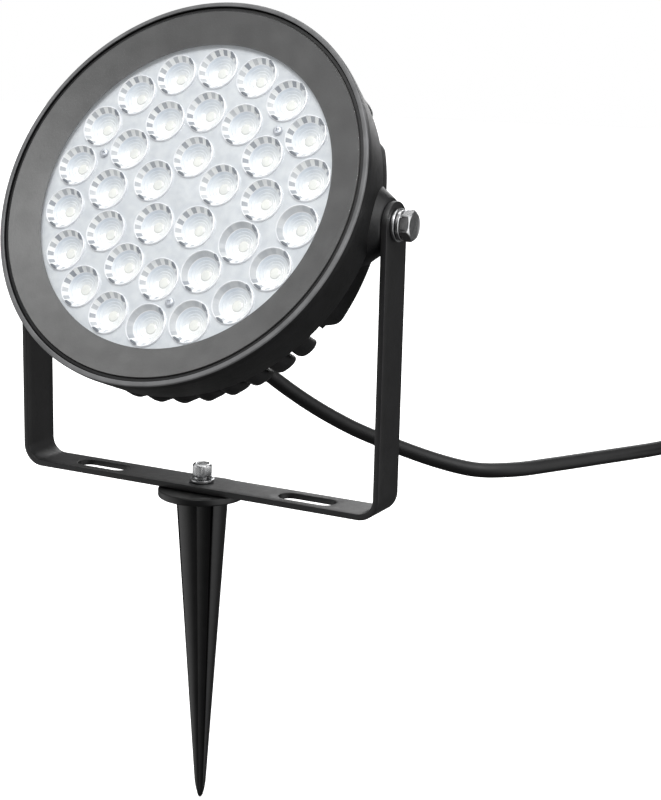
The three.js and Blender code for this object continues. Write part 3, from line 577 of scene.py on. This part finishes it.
def add_cord():
    relief, tie, cores = add_strain_relief(), add_tie(), add_cores()
    leading = Vector(CORD_ROUTE[0]) + (Vector(CORD_ROUTE[0]) - Vector(CORD_ROUTE[1])).normalized() * 8
    line = evenly(smooth_line([leading, *CORD_ROUTE, *coil_turns(), *TAIL_ROUTE]), 2.5)
    shape = Shape().tube(line, CORD_RADIUS, 20, 0, ROOT)
    cord = shape.piece("supply_cord", [JACKET], None, ["cord_drop", "cord_run", "cord_coil", "cord_tail"],
                       "cord_jacket")
    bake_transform(cord)


add_cord()

# ---------- ground spike and its screw ----------

def spike_section(radius, height):
    """One level of the spike: four blades with grooves between them, as far as the radius allows."""
    share = (-2 - height) / SPIKE_LENGTH
    half, floor = 4.1 - 3.3 * share, 5.7 - 4.4 * share
    side = max(math.sqrt(max(radius * radius - half * half, 0)), floor)
    edge = math.atan2(half, side)
    blade = arc(math.hypot(half, side), edge, math.pi / 2 - edge, 7)
    quarter = rounded([(floor, 0), (floor, half), *blade, (half, floor), (0, floor)], 0.045 * radius, 2)[:-1]
    points = []
    for turn in (SPIKE_TURN + i * math.pi / 2 for i in range(4)):
        for x, y in quarter:
            trim = min(1, radius / math.hypot(x, y))
            points.append((
                (x * math.cos(turn) - y * math.sin(turn)) * trim,
                (x * math.sin(turn) + y * math.cos(turn)) * trim,
            ))
    return points


def add_stake():
    """Nylon spike with four grooves under a round flange."""
    shape = Shape()
    levels = [(0.05, -SPIKE_LENGTH), (0.9, -168.3), (1.7, -166.8), (2.5, -163.5), (3.1, -159.5)]
    levels += [(3.5 + 10.4 * i / 30, -154 + 154 * i / 30) for i in range(31)]
    rows = [[(x, y, z) for x, y in spike_section(radius, z)] for radius, z in levels]
    shape.skin(rows, 0, ROOT)
    flange = [(0, 0), (22.7, 0), (22.7, 4), (5.6, 4), (5.1, 3.6), (4.8, 3.4), (4.8, -8), (0, -8)]
    shape.lathe(rounded(flange, 0.9, 4), 120, 0, UPRIGHT)
    shape.piece("spike", [NYLON], "spike", ["ground_stake"], "black_nylon", 38)


def split_washer(shape, inner, outer, thickness, place, start=0.4):
    """A spring washer: a flat ring split across, its ends slightly sprung apart."""
    rows = []
    for i in range(61):
        turn = start + math.radians(5) + (2 * math.pi - math.radians(10)) * i / 60
        lift = 0.18 * (i / 60 - 0.5)
        corners = [(inner, 0.15), (inner + 0.15, 0), (outer - 0.25, 0), (outer, 0.25)]
        corners += [(r, thickness - y) for r, y in reversed(corners)]
        rows.append([(r * math.cos(turn), y + lift, r * math.sin(turn)) for r, y in corners])
    shape.skin(rows, 0, place)
    for row in (rows[0], rows[-1]):
        shape.add(row, [list(range(len(row)))], 0, place)


def flat_washer(shape, inner, outer, thickness, place):
    profile = [(inner, 0), (outer, 0), (outer, thickness), (inner, thickness), (inner, 0)]
    shape.lathe(rounded(profile, 0.28, 3)[:-1], 72, 0, place, closed=True)


def hex_radius(angle, across_flats):
    """Distance from the middle of a hexagon to its side in that direction."""
    third = math.pi / 3
    return across_flats / 2 / math.cos((angle % third) - third / 2)


def hexagon(across_flats, count):
    turns = [2 * math.pi * i / count for i in range(count)]
    reach = [hex_radius(a, across_flats) for a in turns]
    return [(r * math.cos(a), r * math.sin(a)) for r, a in zip(reach, turns)]


def add_stake_screw():
    """Socket cap screw with a knurled head over its spring and flat washers."""
    flat_washer(washer := Shape(), 3.3, 6.4, 1.4, UPRIGHT @ Matrix.Translation((0, 7.6, 0)))
    washer.piece("stake_washer", [STAINLESS], "spike", ["stake_flat_washer"], "stainless")
    split_washer(spring := Shape(), 3.3, 5.2, 1.4, UPRIGHT @ Matrix.Translation((0, 9.3, 0)))
    spring.piece("stake_lock_washer", [STAINLESS], "spike", ["stake_spring_washer"], "stainless")

    shape = Shape()
    count = 96
    rows = []
    for wide, height, knurl in ((4.2, 11, 0), (4.85, 11.1, 0), (4.9, 11.7, 1), (4.9, 15.6, 1), (4.85, 16.2, 0),
                                (4.5, 16.8, 0), (4.1, 17, 0), (3.4, 17, 0)):
        turns = [2 * math.pi * i / count for i in range(count)]
        rows.append([
            ((wide + 0.1 * knurl * (i % 2 * 2 - 1)) * math.cos(a), height,
             (wide + 0.1 * knurl * (i % 2 * 2 - 1)) * math.sin(a)) for i, a in enumerate(turns)
        ])
    for height, wide in ((16.9, 5.6), (16.5, 5.1), (14, 5), (13.8, 4.4)):
        rows.append([(x, height, z) for x, z in hexagon(wide, count)])
    rows.append([(0, 13.2, 0)] * count)
    shape.skin(rows, 0, UPRIGHT)
    shape.lathe([(0, 11.02), (4.2, 11.01)], count, 0, UPRIGHT)
    shape.lathe([(3, 11.2), (3, -11.2), (2.4, -11.7), (0, -11.7)], 32, 0, UPRIGHT)
    shape.piece("stake_cap_screw", [STAINLESS], "spike", ["stake_screw"], "stainless")


# ---------- yoke ----------

def bent(along, across, depth):
    """A point of the flat strap carried onto the bent yoke; depth runs from its outside face inwards."""
    side = 1 if along >= 0 else -1
    far = abs(along)
    start = YOKE_OUTER_HALF - YOKE_BEND_OUTER
    sweep = (YOKE_BEND_OUTER - STRAP_THICKNESS / 2) * math.pi / 2
    centre = YOKE_UNDERSIDE + YOKE_BEND_OUTER
    if far <= start:
        return (along, across, YOKE_UNDERSIDE + depth)
    if far < start + sweep:
        turn = (far - start) / sweep * math.pi / 2
        reach = YOKE_BEND_OUTER - depth
        return (side * (start + reach * math.sin(turn)), across, centre - reach * math.cos(turn))
    return (side * (YOKE_OUTER_HALF - depth), across, centre + far - start - sweep)


def add_yoke():
    """Steel strap bent into a U, with its holes, slots and softened edges."""
    sweep = (YOKE_BEND_OUTER - STRAP_THICKNESS / 2) * math.pi / 2
    pivot = YOKE_OUTER_HALF - YOKE_BEND_OUTER + sweep + PIVOT_HEIGHT - YOKE_UNDERSIDE - YOKE_BEND_OUTER
    half = STRAP_WIDTH / 2
    stations = [2 * i for i in range(-int(pivot // 2), int(pivot // 2) + 1)]
    outline = [(x, -half) for x in stations] + arc(half, -math.pi / 2, math.pi / 2, 28, (pivot, 0))
    outline += [(x, half) for x in reversed(stations)]
    outline += arc(half, math.pi / 2, math.pi * 1.5, 28, (-pivot, 0))
    straight = (SLOT_LENGTH - SLOT_WIDTH) / 2
    holes = [circle(3.3, 32), circle(4.3, 36, (pivot, 0)), circle(4.3, 36, (-pivot, 0))]
    for side in (-1, 1):
        middle = side * SLOT_OFFSET
        holes.append(
            arc(SLOT_WIDTH / 2, -math.pi / 2, math.pi / 2, 12, (middle + straight, 0))
            + arc(SLOT_WIDTH / 2, math.pi / 2, math.pi * 1.5, 12, (middle - straight, 0))
        )
    inner = [(x, y) for x in stations for y in (-7, 0, 7)]
    loops = [outline, *holes]
    extra = [p for p in inner if all(min((Vector(p) - Vector(q)).length for q in hole) > 1 for hole in loops)]
    extra = [p for p in extra if not any(inside(p, hole) for hole in holes)]
    shape = Shape().slab(loops, 0, STRAP_THICKNESS, 0.28, extra=extra)
    shape.points = [ROOT @ Vector(bent(x, z, y)) for x, y, z in shape.points]
    shape.piece("yoke_strap", [STRAP_PAINT], "yoke", ["yoke_bracket"], "yoke_coat", 40)


add_stake()
add_stake_screw()
add_yoke()

# ---------- fasteners ----------

def hex_bar(shape, across_flats, levels, place):
    """A hexagonal bar turned down where a (height, radius) level is smaller than its corners."""
    rows = []
    for height, limit in levels:
        trims = [(x, z, min(1, limit / math.hypot(x, z))) for x, z in hexagon(across_flats, HEX_POINTS)]
        rows.append([(x * trim, height, z * trim) for x, z, trim in trims])
    return shape.skin(rows, 0, place, closed=True)


def add_pivot_fasteners():
    for side, label in ((-1, "left"), (1, "right")):
        place = sideways(side)
        flat_washer(washer := Shape(), 4.3, 8, 1.4, place @ Matrix.Translation((0, 106.5, 0)))
        washer.piece(f"pivot_washer_{label}", [STAINLESS], "head", [f"pivot_flat_washer_{label}"], "stainless")
        split_washer(spring := Shape(), 4.3, 7.2, 1.8, place @ Matrix.Translation((0, 108.2, 0)), 2.2)
        spring.piece(f"pivot_lock_{label}", [STAINLESS], "head", [f"pivot_spring_washer_{label}"], "stainless")
        shape = Shape()
        levels = [(110.3, 0.1), (110.3, 6.3), (110.5, 7), (110.8, 7.6), (114.4, 7.6)]
        levels += [(114.5 + 0.16 * i, 7.45 - 0.27 * i) for i in range(6)] + [(115.05, 5.2), (115.05, 0.1)]
        hex_bar(shape, 13, levels, place @ Matrix.Rotation(math.radians(47), 4, "Y"))
        shape.lathe([(4, 110.4), (4, 88.3), (3.3, 87.3), (0, 87.3)], 40, 0, place)
        shape.piece(f"pivot_hex_bolt_{label}", [STAINLESS], "head", [f"pivot_bolt_{label}"], "stainless")


def pan_screw(head, seat, tip, shank, place):
    """Pan head with a cross recess; head is (radius, height), and the head points from seat away from tip."""
    wide, tall = head
    out = math.copysign(1, seat - tip)
    turns = [2 * math.pi * i / 64 for i in range(64)]
    rows = []
    for share, lift in ((0.02, 0), (0.97, 0), (1, 0.12), (0.99, 0.4), (0.9, 0.72), (0.74, 0.93), (0.6, 1)):
        level = seat + out * tall * lift
        rows.append([(wide * share * math.cos(a), level, wide * share * math.sin(a)) for a in turns])
    for size, lift in ((0.56, 1), (0.5, 0.9), (0.34, 0.45), (0.02, 0.4)):
        reach = [wide * size * (0.3 + 0.7 * abs(math.cos(2 * a)) ** 5) for a in turns]
        level = seat + out * tall * lift
        rows.append([(r * math.cos(a), level, r * math.sin(a)) for r, a in zip(reach, turns)])
    shape = Shape().skin(rows, 0, place)
    profile = [(shank, seat + out * 0.05), (shank, tip + out * shank), (0.1, tip)]
    return shape.lathe(profile, 24, 0, place)


def add_screws(name, target, spots, head, seat, tip, shank, metal):
    for number, (radius, angle) in enumerate(spots, 1):
        x, z = polar(radius, angle)
        turned = LAMP @ Matrix.Translation((x, 0, z)) @ Matrix.Rotation(1.1 * number, 4, "Y")
        shape = pan_screw(head, seat, tip, shank, turned)
        shape.piece(f"{name}_{number}", [metal], "head", [f"{target}_{number}"], "stainless")


# ---------- lamp housing ----------

def fin_limit(depth):
    """How far out the fins reach at a depth behind the rim's front."""
    return min(FIN_OUTER_RADIUS, 98.4 - max(0, depth - 35) * 6.5 / 11)


def fin_top(radius):
    return FIN_END + (91.3 - radius) * 5 / 49.3


def rising(shape, outline, root, end, fillet, place, limit=None):
    """A rib that stands on the casting: outline in (radius, sideways), its far edge rounded over."""
    levels = [(0, share) for share in (0, 0.2, 0.4, 0.55, 0.7, 0.85, 1)]
    levels += [(fillet * (1 - math.cos(t)), 1 + math.sin(t)) for t in (0.4, 0.8, 1.2, math.pi / 2)]
    rows = []
    for shrink, share in levels:
        row = []
        for out, side in inset(outline, shrink):
            depth = root + min(share, 1) * (end(out) - fillet - root) + max(share - 1, 0) * fillet
            if limit and out > BULB_FROM:
                room = (limit(depth) - BULB_FROM) / (FIN_OUTER_RADIUS - BULB_FROM)
                out = BULB_FROM + (out - BULB_FROM) * room
            row.append((out, depth, side))
        rows.append(row)
    shape.skin(rows, 0, place)
    return shape.add(rows[-1], [list(range(len(outline)))], 0, place)


def fin_plan():
    """Outline of one fin: a thin web that swells into a round outer end."""
    middle, wide = FIN_OUTER_RADIUS - FIN_BULB_RADIUS, FIN_BULB_RADIUS
    flank = rounded([(43, -1.35), (79.5, -1.3), (middle - 3, 0.4 - wide), (middle, -wide)], 5, 4)[:-1]
    flank = [flank[0], (52, -1.35), (61, -1.35), (70, -1.35), *flank[1:]]
    return flank + arc(wide, -math.pi / 2, math.pi / 2, 18, (middle, 0)) + [(x, -z) for x, z in reversed(flank)]


def cheek_plan():
    """Outline of the solid stretch beside a pivot, flatter than the fins' circle."""
    chord = FIN_OUTER_RADIUS * math.sin(CHEEK_HALF_ANGLE)
    reach = math.asin(chord / CHEEK_RADIUS)
    outer = arc(CHEEK_RADIUS, -reach, reach, 60, (CHEEK_AT_PIVOT - CHEEK_RADIUS, 0))
    inner = arc(84, CHEEK_HALF_ANGLE, -CHEEK_HALF_ANGLE, 44)
    ends = [(x, z) for x, z in (inner[-1], inner[0])]
    return rounded([ends[0], *outer[6:-6:4], ends[1]], 7, 4)[1:-1] + inner


def add_housing():
    """Die-cast body: stepped rim, skirt, driver box, fins, solid cheeks and bolt lugs."""
    shape = Shape()
    body = [(0, 17), (88, 17), (88, 7.6), (98, 7.6), (98, 0.4)]
    shape.lathe(rounded(body, 0.4, 3), 264, 0, LAMP)
    # Kind 1 on this narrow ring is the lighter coat, a painted highlight along the rim's front face.
    shape.lathe(rounded([(98, 0.5), (98.1, 0), (100.1, 0), (100.5, 0.7)], 0.25, 3), 264, 1, LAMP)
    skirt = [(100.5, 0.65), (100.5, 4), (97.5, 26), (92, 25.6), (60, 22.7), (44, 22), (44, 52), (38, 52),
             (38, 22), (0, 22)]
    shape.lathe(rounded(skirt, 0.8, 4), 264, 0, LAMP)
    plan = fin_plan()
    web = [(x, z) for x, z in plan if x < 62]
    web = web[:len(web) // 2] + [(88, -1.3), (88, 1.3)] + web[len(web) // 2:]
    for turn in (2 * math.pi * i / FIN_COUNT for i in range(FIN_COUNT)):
        inside_cheek = abs(math.cos(turn)) > math.cos(CHEEK_HALF_ANGLE)
        turned = LAMP @ Matrix.Rotation(turn, 4, "Y")
        rising(shape, web if inside_cheek else plan, 21.2, fin_top, 0.9, turned, fin_limit)
    for turn in (0, math.pi):
        turned = LAMP @ Matrix.Rotation(turn, 4, "Y")
        rising(shape, cheek_plan(), 21.2, lambda out: 42.5, 1.8, turned)
    for side in (-1, 1):
        place = sideways(side) @ Matrix.Diagonal((0.85, 1, 1, 1))
        lug = [(4.3, 86), (4.3, 102.9), (12.5, 102.9), (17, 96.5), (22, 90), (27, 84)]
        shape.lathe(rounded(lug, 1.3, 4), 96, 0, place)
    shape.piece("lamp_housing", [POWDER, RIM_PAINTED_HIGHLIGHT], "head", ["heatsink_housing"], "powder_coat", 35)


def add_glazing():
    edge = rounded([(94, 0.3), (GLASS_RADIUS, 0.3), (GLASS_RADIUS, 5.3), (94, 5.3)], 0.45, 3)
    front, side, rear = edge[:3], edge[2:-1], edge[-2:]
    pane = Shape().lathe([(0, 0.3), *front], 256, 0, LAMP).lathe(side, 256, 1, LAMP)
    pane.lathe([*rear, (0, 5.3)], 256, 0, LAMP)
    pane.piece("glass_pane", [GLASS, PRINT], "head", ["front_glass"], "clear_glass")
    border = rounded([(WINDOW_RADIUS, 5.6), (95.7, 0.6), (GLASS_RADIUS, 6), (WINDOW_RADIUS, 6),
                      (WINDOW_RADIUS, 5.6)], 0.08, 1)[:-1]
    shape = Shape().lathe(border, 256, 0, LAMP, closed=True)
    shape.piece("printed_border", [PRINT], "head", ["glass_mask"], "grey_print")
    seal = [(96.2, 1.4), (97.7, 1.4), (97.7, 7.3), (92, 7.3), (92, 6.3), (96.2, 6.3), (96.2, 1.4)]
    shape = Shape().lathe(rounded(seal, 0.25, 2)[:-1], 220, 0, LAMP, closed=True)
    shape.piece("glass_gasket", [RUBBER], "head", ["glass_seal"], "black_rubber")


# ---------- optics and electronics ----------

def lens_spots():
    return [polar(radius, 2 * math.pi * i / count) for radius, count in LENS_RINGS for i in range(count)]


def scatter(*numbers):
    """A steady pseudo-random share from 0 to 1."""
    value = math.sin(sum(n * k for n, k in zip(numbers, (12.9898, 78.233, 37.719)))) * 43758.5453
    return value - math.floor(value)


def mixed(low, high, share):
    share = min(max(share, 0), 1)
    return tuple(a + (b - a) * share for a, b in zip(low, high))


def add_lens(shape, x, z, number):
    """One moulded collimator: lip, faceted wall, ringed bowl and the two prism marks beside it, with painted
    reflections and painted shade in its face colours.
    """
    count = 78
    place = LAMP @ Matrix.Translation((x, 0, z))
    turns = [2 * math.pi * i / count for i in range(count)]

    def ring(radius, depth):
        return [(radius * math.sin(a), depth, radius * math.cos(a)) for a in turns]

    # toward is the side of each lens that the painted shading is keyed to; low_side picks the lenses low in the
    # plate, whose facets on that side get painted shade.
    toward = math.radians(-38)
    low_side = (z * math.cos(toward) + x * math.sin(toward)) < -40
    wall = [(11.05, 8.3), (11.1, 7.5), (10.95, 7.05), (10.6, 6.95), (10.35, 7.3), (8.3, 9.7), (8.05, 9.9)]
    bowl = [(7, 10.7), (6.8, 10.7), (5.6, 11.6), (5.4, 11.55), (4.4, 12.2), (4.2, 12.15), (3.2, 12.7),
            (2.9, 12.75)]
    rows = [ring(*level) for level in [*wall, *bowl]]
    for level, (low, high) in enumerate(zip(rows, rows[1:])):
        for i, angle in enumerate(turns):
            j = (i + 1) % count
            facing = math.cos(angle - toward)
            facet = i // 3
            # Faceted wall: facets painted white and grey in turn as painted reflections, with the low lenses'
            # facets on the toward side darker as painted shade.
            if level == 4:
                chance = scatter(facet, number)
                if low_side and facing > 0:
                    bright = 0.3 + 0.2 * chance
                else:
                    bright = 1 if facet % 2 else 0.55 * chance
                shape.tint = mixed((0.36, 0.38, 0.42), (1, 1, 1), bright)
            # Bowl: painted shading, warm white turning blue-grey towards the toward side, plus painted shade
            # lines on three ring steps on the other side.
            elif level > 5:
                painted_shade = max(0, 0.35 + 0.65 * facing) * (1 - 0.1 * (level - 6))
                painted_ring_shade = 0.16 * (level in (7, 9, 11)) * (facing < 0.2)
                shape.tint = mixed((1, 1, 0.985), (0.66, 0.73, 0.84), painted_shade * 0.75 + painted_ring_shade)
            else:
                shape.tint = (0.97, 0.97, 1)
            shape.add([low[i], low[j], high[j], high[i]], [[0, 1, 2, 3]], 0, place)
    # Darker ring round the centre button: a painted shade line along its edge.
    shape.tint = (0.76, 0.755, 0.73)
    shape.lathe([(2.9, 12.75), (2.5, 12.6)], 40, 0, place)
    shape.tint = (0.94, 0.935, 0.89)
    shape.lathe([(2.5, 12.6), (2.3, 12.52), (1.7, 12.45), (0.8, 12.4), (0.05, 12.4)], 40, 0, place)
    shape.tint = (0.9, 0.9, 0.92)
    shape.lathe([(11.05, 8.3), (10.9, 9.4), (4.2, 14.2), (0, 14.2)], 36, 0, place)
    # The two wedges beside each lens are dark grey: painted dark glints where the moulded legs show through the
    # optic.
    shape.tint = (0.2, 0.215, 0.24)
    for angle in (42, 202):
        turned = place @ Matrix.Rotation(math.radians(angle), 4, "Y") @ Matrix.Translation((0, 0, 10.1))
        wedge = [(-2.6, 0.2), (-1, -0.75), (1.4, -0.75), (2.6, 0), (1, 0.6), (-1.4, 0.75)]
        shape.slab([wedge], 6.5, 7.6, 0.12, 0, turned)
    shape.tint = (1, 1, 1)


def add_optics():
    spots = lens_spots()
    shape = Shape()
    shape.tint = (0.735, 0.755, 0.785)
    plate = [circle(84, 200)] + [circle(10.8, 40, spot) for spot in spots]
    shape.slab(plate, 8, 9.5, 0.2, 0, LAMP)
    for number, (x, z) in enumerate(spots):
        add_lens(shape, x, z, number)
    shape.piece("lens_plate", [OPTIC], "head", ["lens_array"], "clear_acrylic", 30)
    board = Shape().slab([circle(86, 160)], 15.1, 16.7, 0.15, 0, LAMP)
    for x, z in spots:
        chip = [(x + a * 1.6, z + b * 1.6) for a, b in ((-1, -1), (1, -1), (1, 1), (-1, 1))]
        board.slab([chip], 14.5, 15.2, 0.15, 1, LAMP)
    board.piece("circuit_board", [BOARD, PHOSPHOR], "head", ["led_board"], "white_board")


def add_driver():
    case = rounded([(0, -17), (25, -17), (25, 17), (-25, 17), (-25, -17), (0, -17)], 2.5, 4)[:-1]
    shape = Shape().slab([case], 22.3, 44.3, 1.2, 0, LAMP)
    shape.piece("driver_block", [CASE], "head", ["led_driver"], "driver_case")
    for name, x, material in (("red", 29, RED), ("black", 31.4, BLACK)):
        shape = Shape().tube([(x, 17.3 + 1.2 * i, 0) for i in range(12)], 0.88, 14, 0, LAMP)
        shape.tube([(x, 17, 0), (x, 18, 0)], 0.5, 8, 1, LAMP)
        shape.piece(f"lead_{name}", [material, COPPER], "head", [f"output_lead_{name}"], f"lead_{name}")


# ---------- rear cover and cable gland ----------

def add_rear_cover():
    """Round lid with the leaning boss that holds the gland."""
    gasket = [(38.4, 52.3), (44, 52.3), (44, 53.5), (38.4, 53.5), (38.4, 52.3)]
    shape = Shape().lathe(rounded(gasket, 0.3, 3)[:-1], 120, 0, LAMP, closed=True)
    shape.piece("lid_gasket", [RUBBER], "head", ["rear_gasket"], "black_rubber")
    lid = [(0, 53.8), (44, 53.8), (44, 57.3), (33, 57.3), (32.2, 56.7), (0, 56.7)]
    shape = Shape().lathe(rounded(lid, 0.8, 4), 144, 0, LAMP)
    boss = LAMP.inverted() @ OUTLET
    ahead = (boss.to_3x3() @ Vector((0, 1, 0))).normalized()
    rows = []
    for radius, height in ((8.3, None), (8.3, -0.4), (8.7, 0), (11.3, 0), (12, -0.7), (12, -2.5), (12.3, None)):
        row = []
        for x, z in circle(radius, 72):
            point = boss @ Vector((x, height or 0, z))
            if height is None:
                point += ahead * (55.6 - point.y) / ahead.y
            row.append(point)
        rows.append(row)
    shape.skin(rows, 0, LAMP)
    shape.piece("rear_lid", [POWDER], "head", ["rear_cover"], "powder_coat", 35)


def add_gland():
    shape = Shape()
    levels = [(0.3, 4.4), (0.3, 9.6), (0.9, 11), (4.7, 11), (5.3, 9.6), (5.3, 7.2), (5.9, 7), (9.3, 7),
              (9.3, 4.4)]
    hex_bar(shape, 19, levels, OUTLET)
    thread = [(8, 0.5)]
    for i in range(9):
        thread += [(8, -0.1 - i), (7.5, -0.5 - i)]
    shape.lathe([*thread, (7.6, -9), (4.4, -9)], 64, 0, OUTLET)
    shape.piece("gland_stem", [NYLON], "head", ["gland_body"], "black_nylon", 30)
    dome = [(5.6, 9.7), (6.2, 11), (11.4, 11), (12.2, 10.2), (13.4, 9.2), (14.6, 8.3), (15.3, 7.6), (15.6, 7)]
    shape = hex_bar(Shape(), 19, [*dome, (15.6, 6.1), (15, 6), (11.6, 7.3), (5.6, 7.3)], OUTLET)
    shape.piece("gland_cap", [NYLON], "head", ["gland_nut"], "black_nylon", 30)


def add_insert():
    """Knurled brass thread insert in the spike's flange."""
    count = 90
    turns = [2 * math.pi * i / count for i in range(count)]
    levels = [(3.3, 3.7, 0), (4.3, 3.7, 0), (4.42, 3.3, 0.07), (4.42, -2, 0.07), (4.2, -2.2, 0), (4.2, -3, 0),
              (4.42, -3.2, 0.07), (4.42, -7.3, 0.07), (4.2, -7.7, 0), (3.3, -7.7, 0)]
    rows = []
    for radius, height, tooth in levels:
        reach = [radius + tooth * (1 if i % 2 else -1) for i in range(count)]
        rows.append([(r * math.cos(a), height, r * math.sin(a)) for r, a in zip(reach, turns)])
    shape = Shape().skin(rows, 0, UPRIGHT, closed=True)
    shape.piece("brass_insert", [BRASS], "spike", ["stake_insert"], "brass")


add_insert()
add_pivot_fasteners()
add_housing()
add_glazing()
add_optics()
add_screws("lens_fixing", "lens_screw", LENS_SCREWS, (2.4, 1.2), 7.7, 20.5, 1.25, DULL_STEEL)
add_screws("board_fixing", "board_screw", BOARD_SCREWS, (2.8, 1.8), 14.8, 20.5, 1.25, DULL_STEEL)
add_screws("cover_fixing", "cover_screw", COVER_SCREWS, (3.6, 2.4), 57.6, 43, 1.7, STAINLESS)
add_driver()
add_rear_cover()
add_gland()

# ---------- stage and light ----------

def add_floor():
    """Pale floor just under the spike's tip, bright enough to look like a studio sweep."""
    mesh = bpy.data.meshes.new("floor")
    half, level = 9, -0.1695
    corners = [(x * half, y * half, level) for x, y in ((-1, -1), (1, -1), (1, 1), (-1, 1))]
    mesh.from_pydata(corners, [], [[0, 1, 2, 3]])
    nodes = Nodes("studio_paper")
    nodes.link(nodes.ramp(nodes.noise(14, 3), (0.9, 0.9, 0.9), (0.93, 0.93, 0.93)), "Base Color")
    nodes.link(nodes.range(nodes.noise(300), 0.85, 0.95), "Roughness")
    nodes.link(nodes.bump(nodes.noise(400), 0.05, 0.0002), "Normal")
    nodes.set(Emission_Color=(1, 1, 1, 1), Emission_Strength=0.62, Specular_IOR_Level=0.0)
    mesh.materials.append(nodes.material)
    floor = bpy.data.objects.new("floor", mesh)
    SCENE.collection.objects.link(floor)
    floor.visible_diffuse = floor.visible_glossy = floor.visible_transmission = False


def add_world():
    """White surroundings as the camera sees them, and a dim tent with four soft bright areas as lighting."""
    world = bpy.data.worlds.new("studio")
    world.use_nodes = True
    SCENE.world = world
    tree = world.node_tree

    def add(kind, inputs, **settings):
        node = tree.nodes.new(kind)
        for key, value in settings.items():
            setattr(node, key, value)
        for key, value in inputs.items():
            if isinstance(value, bpy.types.NodeSocket):
                tree.links.new(value, node.inputs[key])
            else:
                node.inputs[key].default_value = value
        return node

    direction = add("ShaderNodeTexCoord", {}).outputs["Generated"]
    glow = tree.nodes["Background"]
    tent = 0.1
    lobes = [((0.2, -0.42, 0.88), 0.55, 1.5), ((-0.45, 0.25, 0.86), 0.85, 1.7), ((-0.9, -0.4, -0.2), 0.65, 0.8),
             ((0.97, 0.02, 0.1), 0.58, 1.25)]
    for aim, start, strength in lobes:
        toward = Vector(aim).normalized()
        near = add("ShaderNodeVectorMath", {0: direction, 1: toward}, operation="DOT_PRODUCT").outputs["Value"]
        lobe = add("ShaderNodeMapRange", {"Value": near, "From Min": start, "To Max": strength},
                   interpolation_type="SMOOTHSTEP").outputs[0]
        tent = add("ShaderNodeMath", {0: lobe, 1: tent}, operation="ADD").outputs[0]
    seen = add("ShaderNodeLightPath", {}).outputs["Is Camera Ray"]
    level = add("ShaderNodeMix", {0: seen, 2: tent, 3: 1.0}).outputs[0]
    tree.links.new(level, glow.inputs["Strength"])
    glow.inputs["Color"].default_value = (1, 1, 1, 1)
    SCENE.view_settings.view_transform = "Standard"


def add_softbox(name, spot, target, width, height, power):
    data = bpy.data.lights.new(name, "AREA")
    data.shape = "RECTANGLE"
    data.size, data.size_y = width, height
    data.energy = power
    lamp = bpy.data.objects.new(name, data)
    SCENE.collection.objects.link(lamp)
    aim = (Vector(target) - Vector(spot)).to_track_quat("-Z", "Y").to_matrix().to_4x4()
    lamp.matrix_world = Matrix.Translation(spot) @ aim


add_floor()
add_world()
add_softbox("key", (0.25, -1.1, 1.75), (0, 0, 0.12), 0.9, 0.9, 24)
add_softbox("rear", (-0.35, 1.5, 0.65), (0, 0, 0.1), 0.9, 0.9, 6)
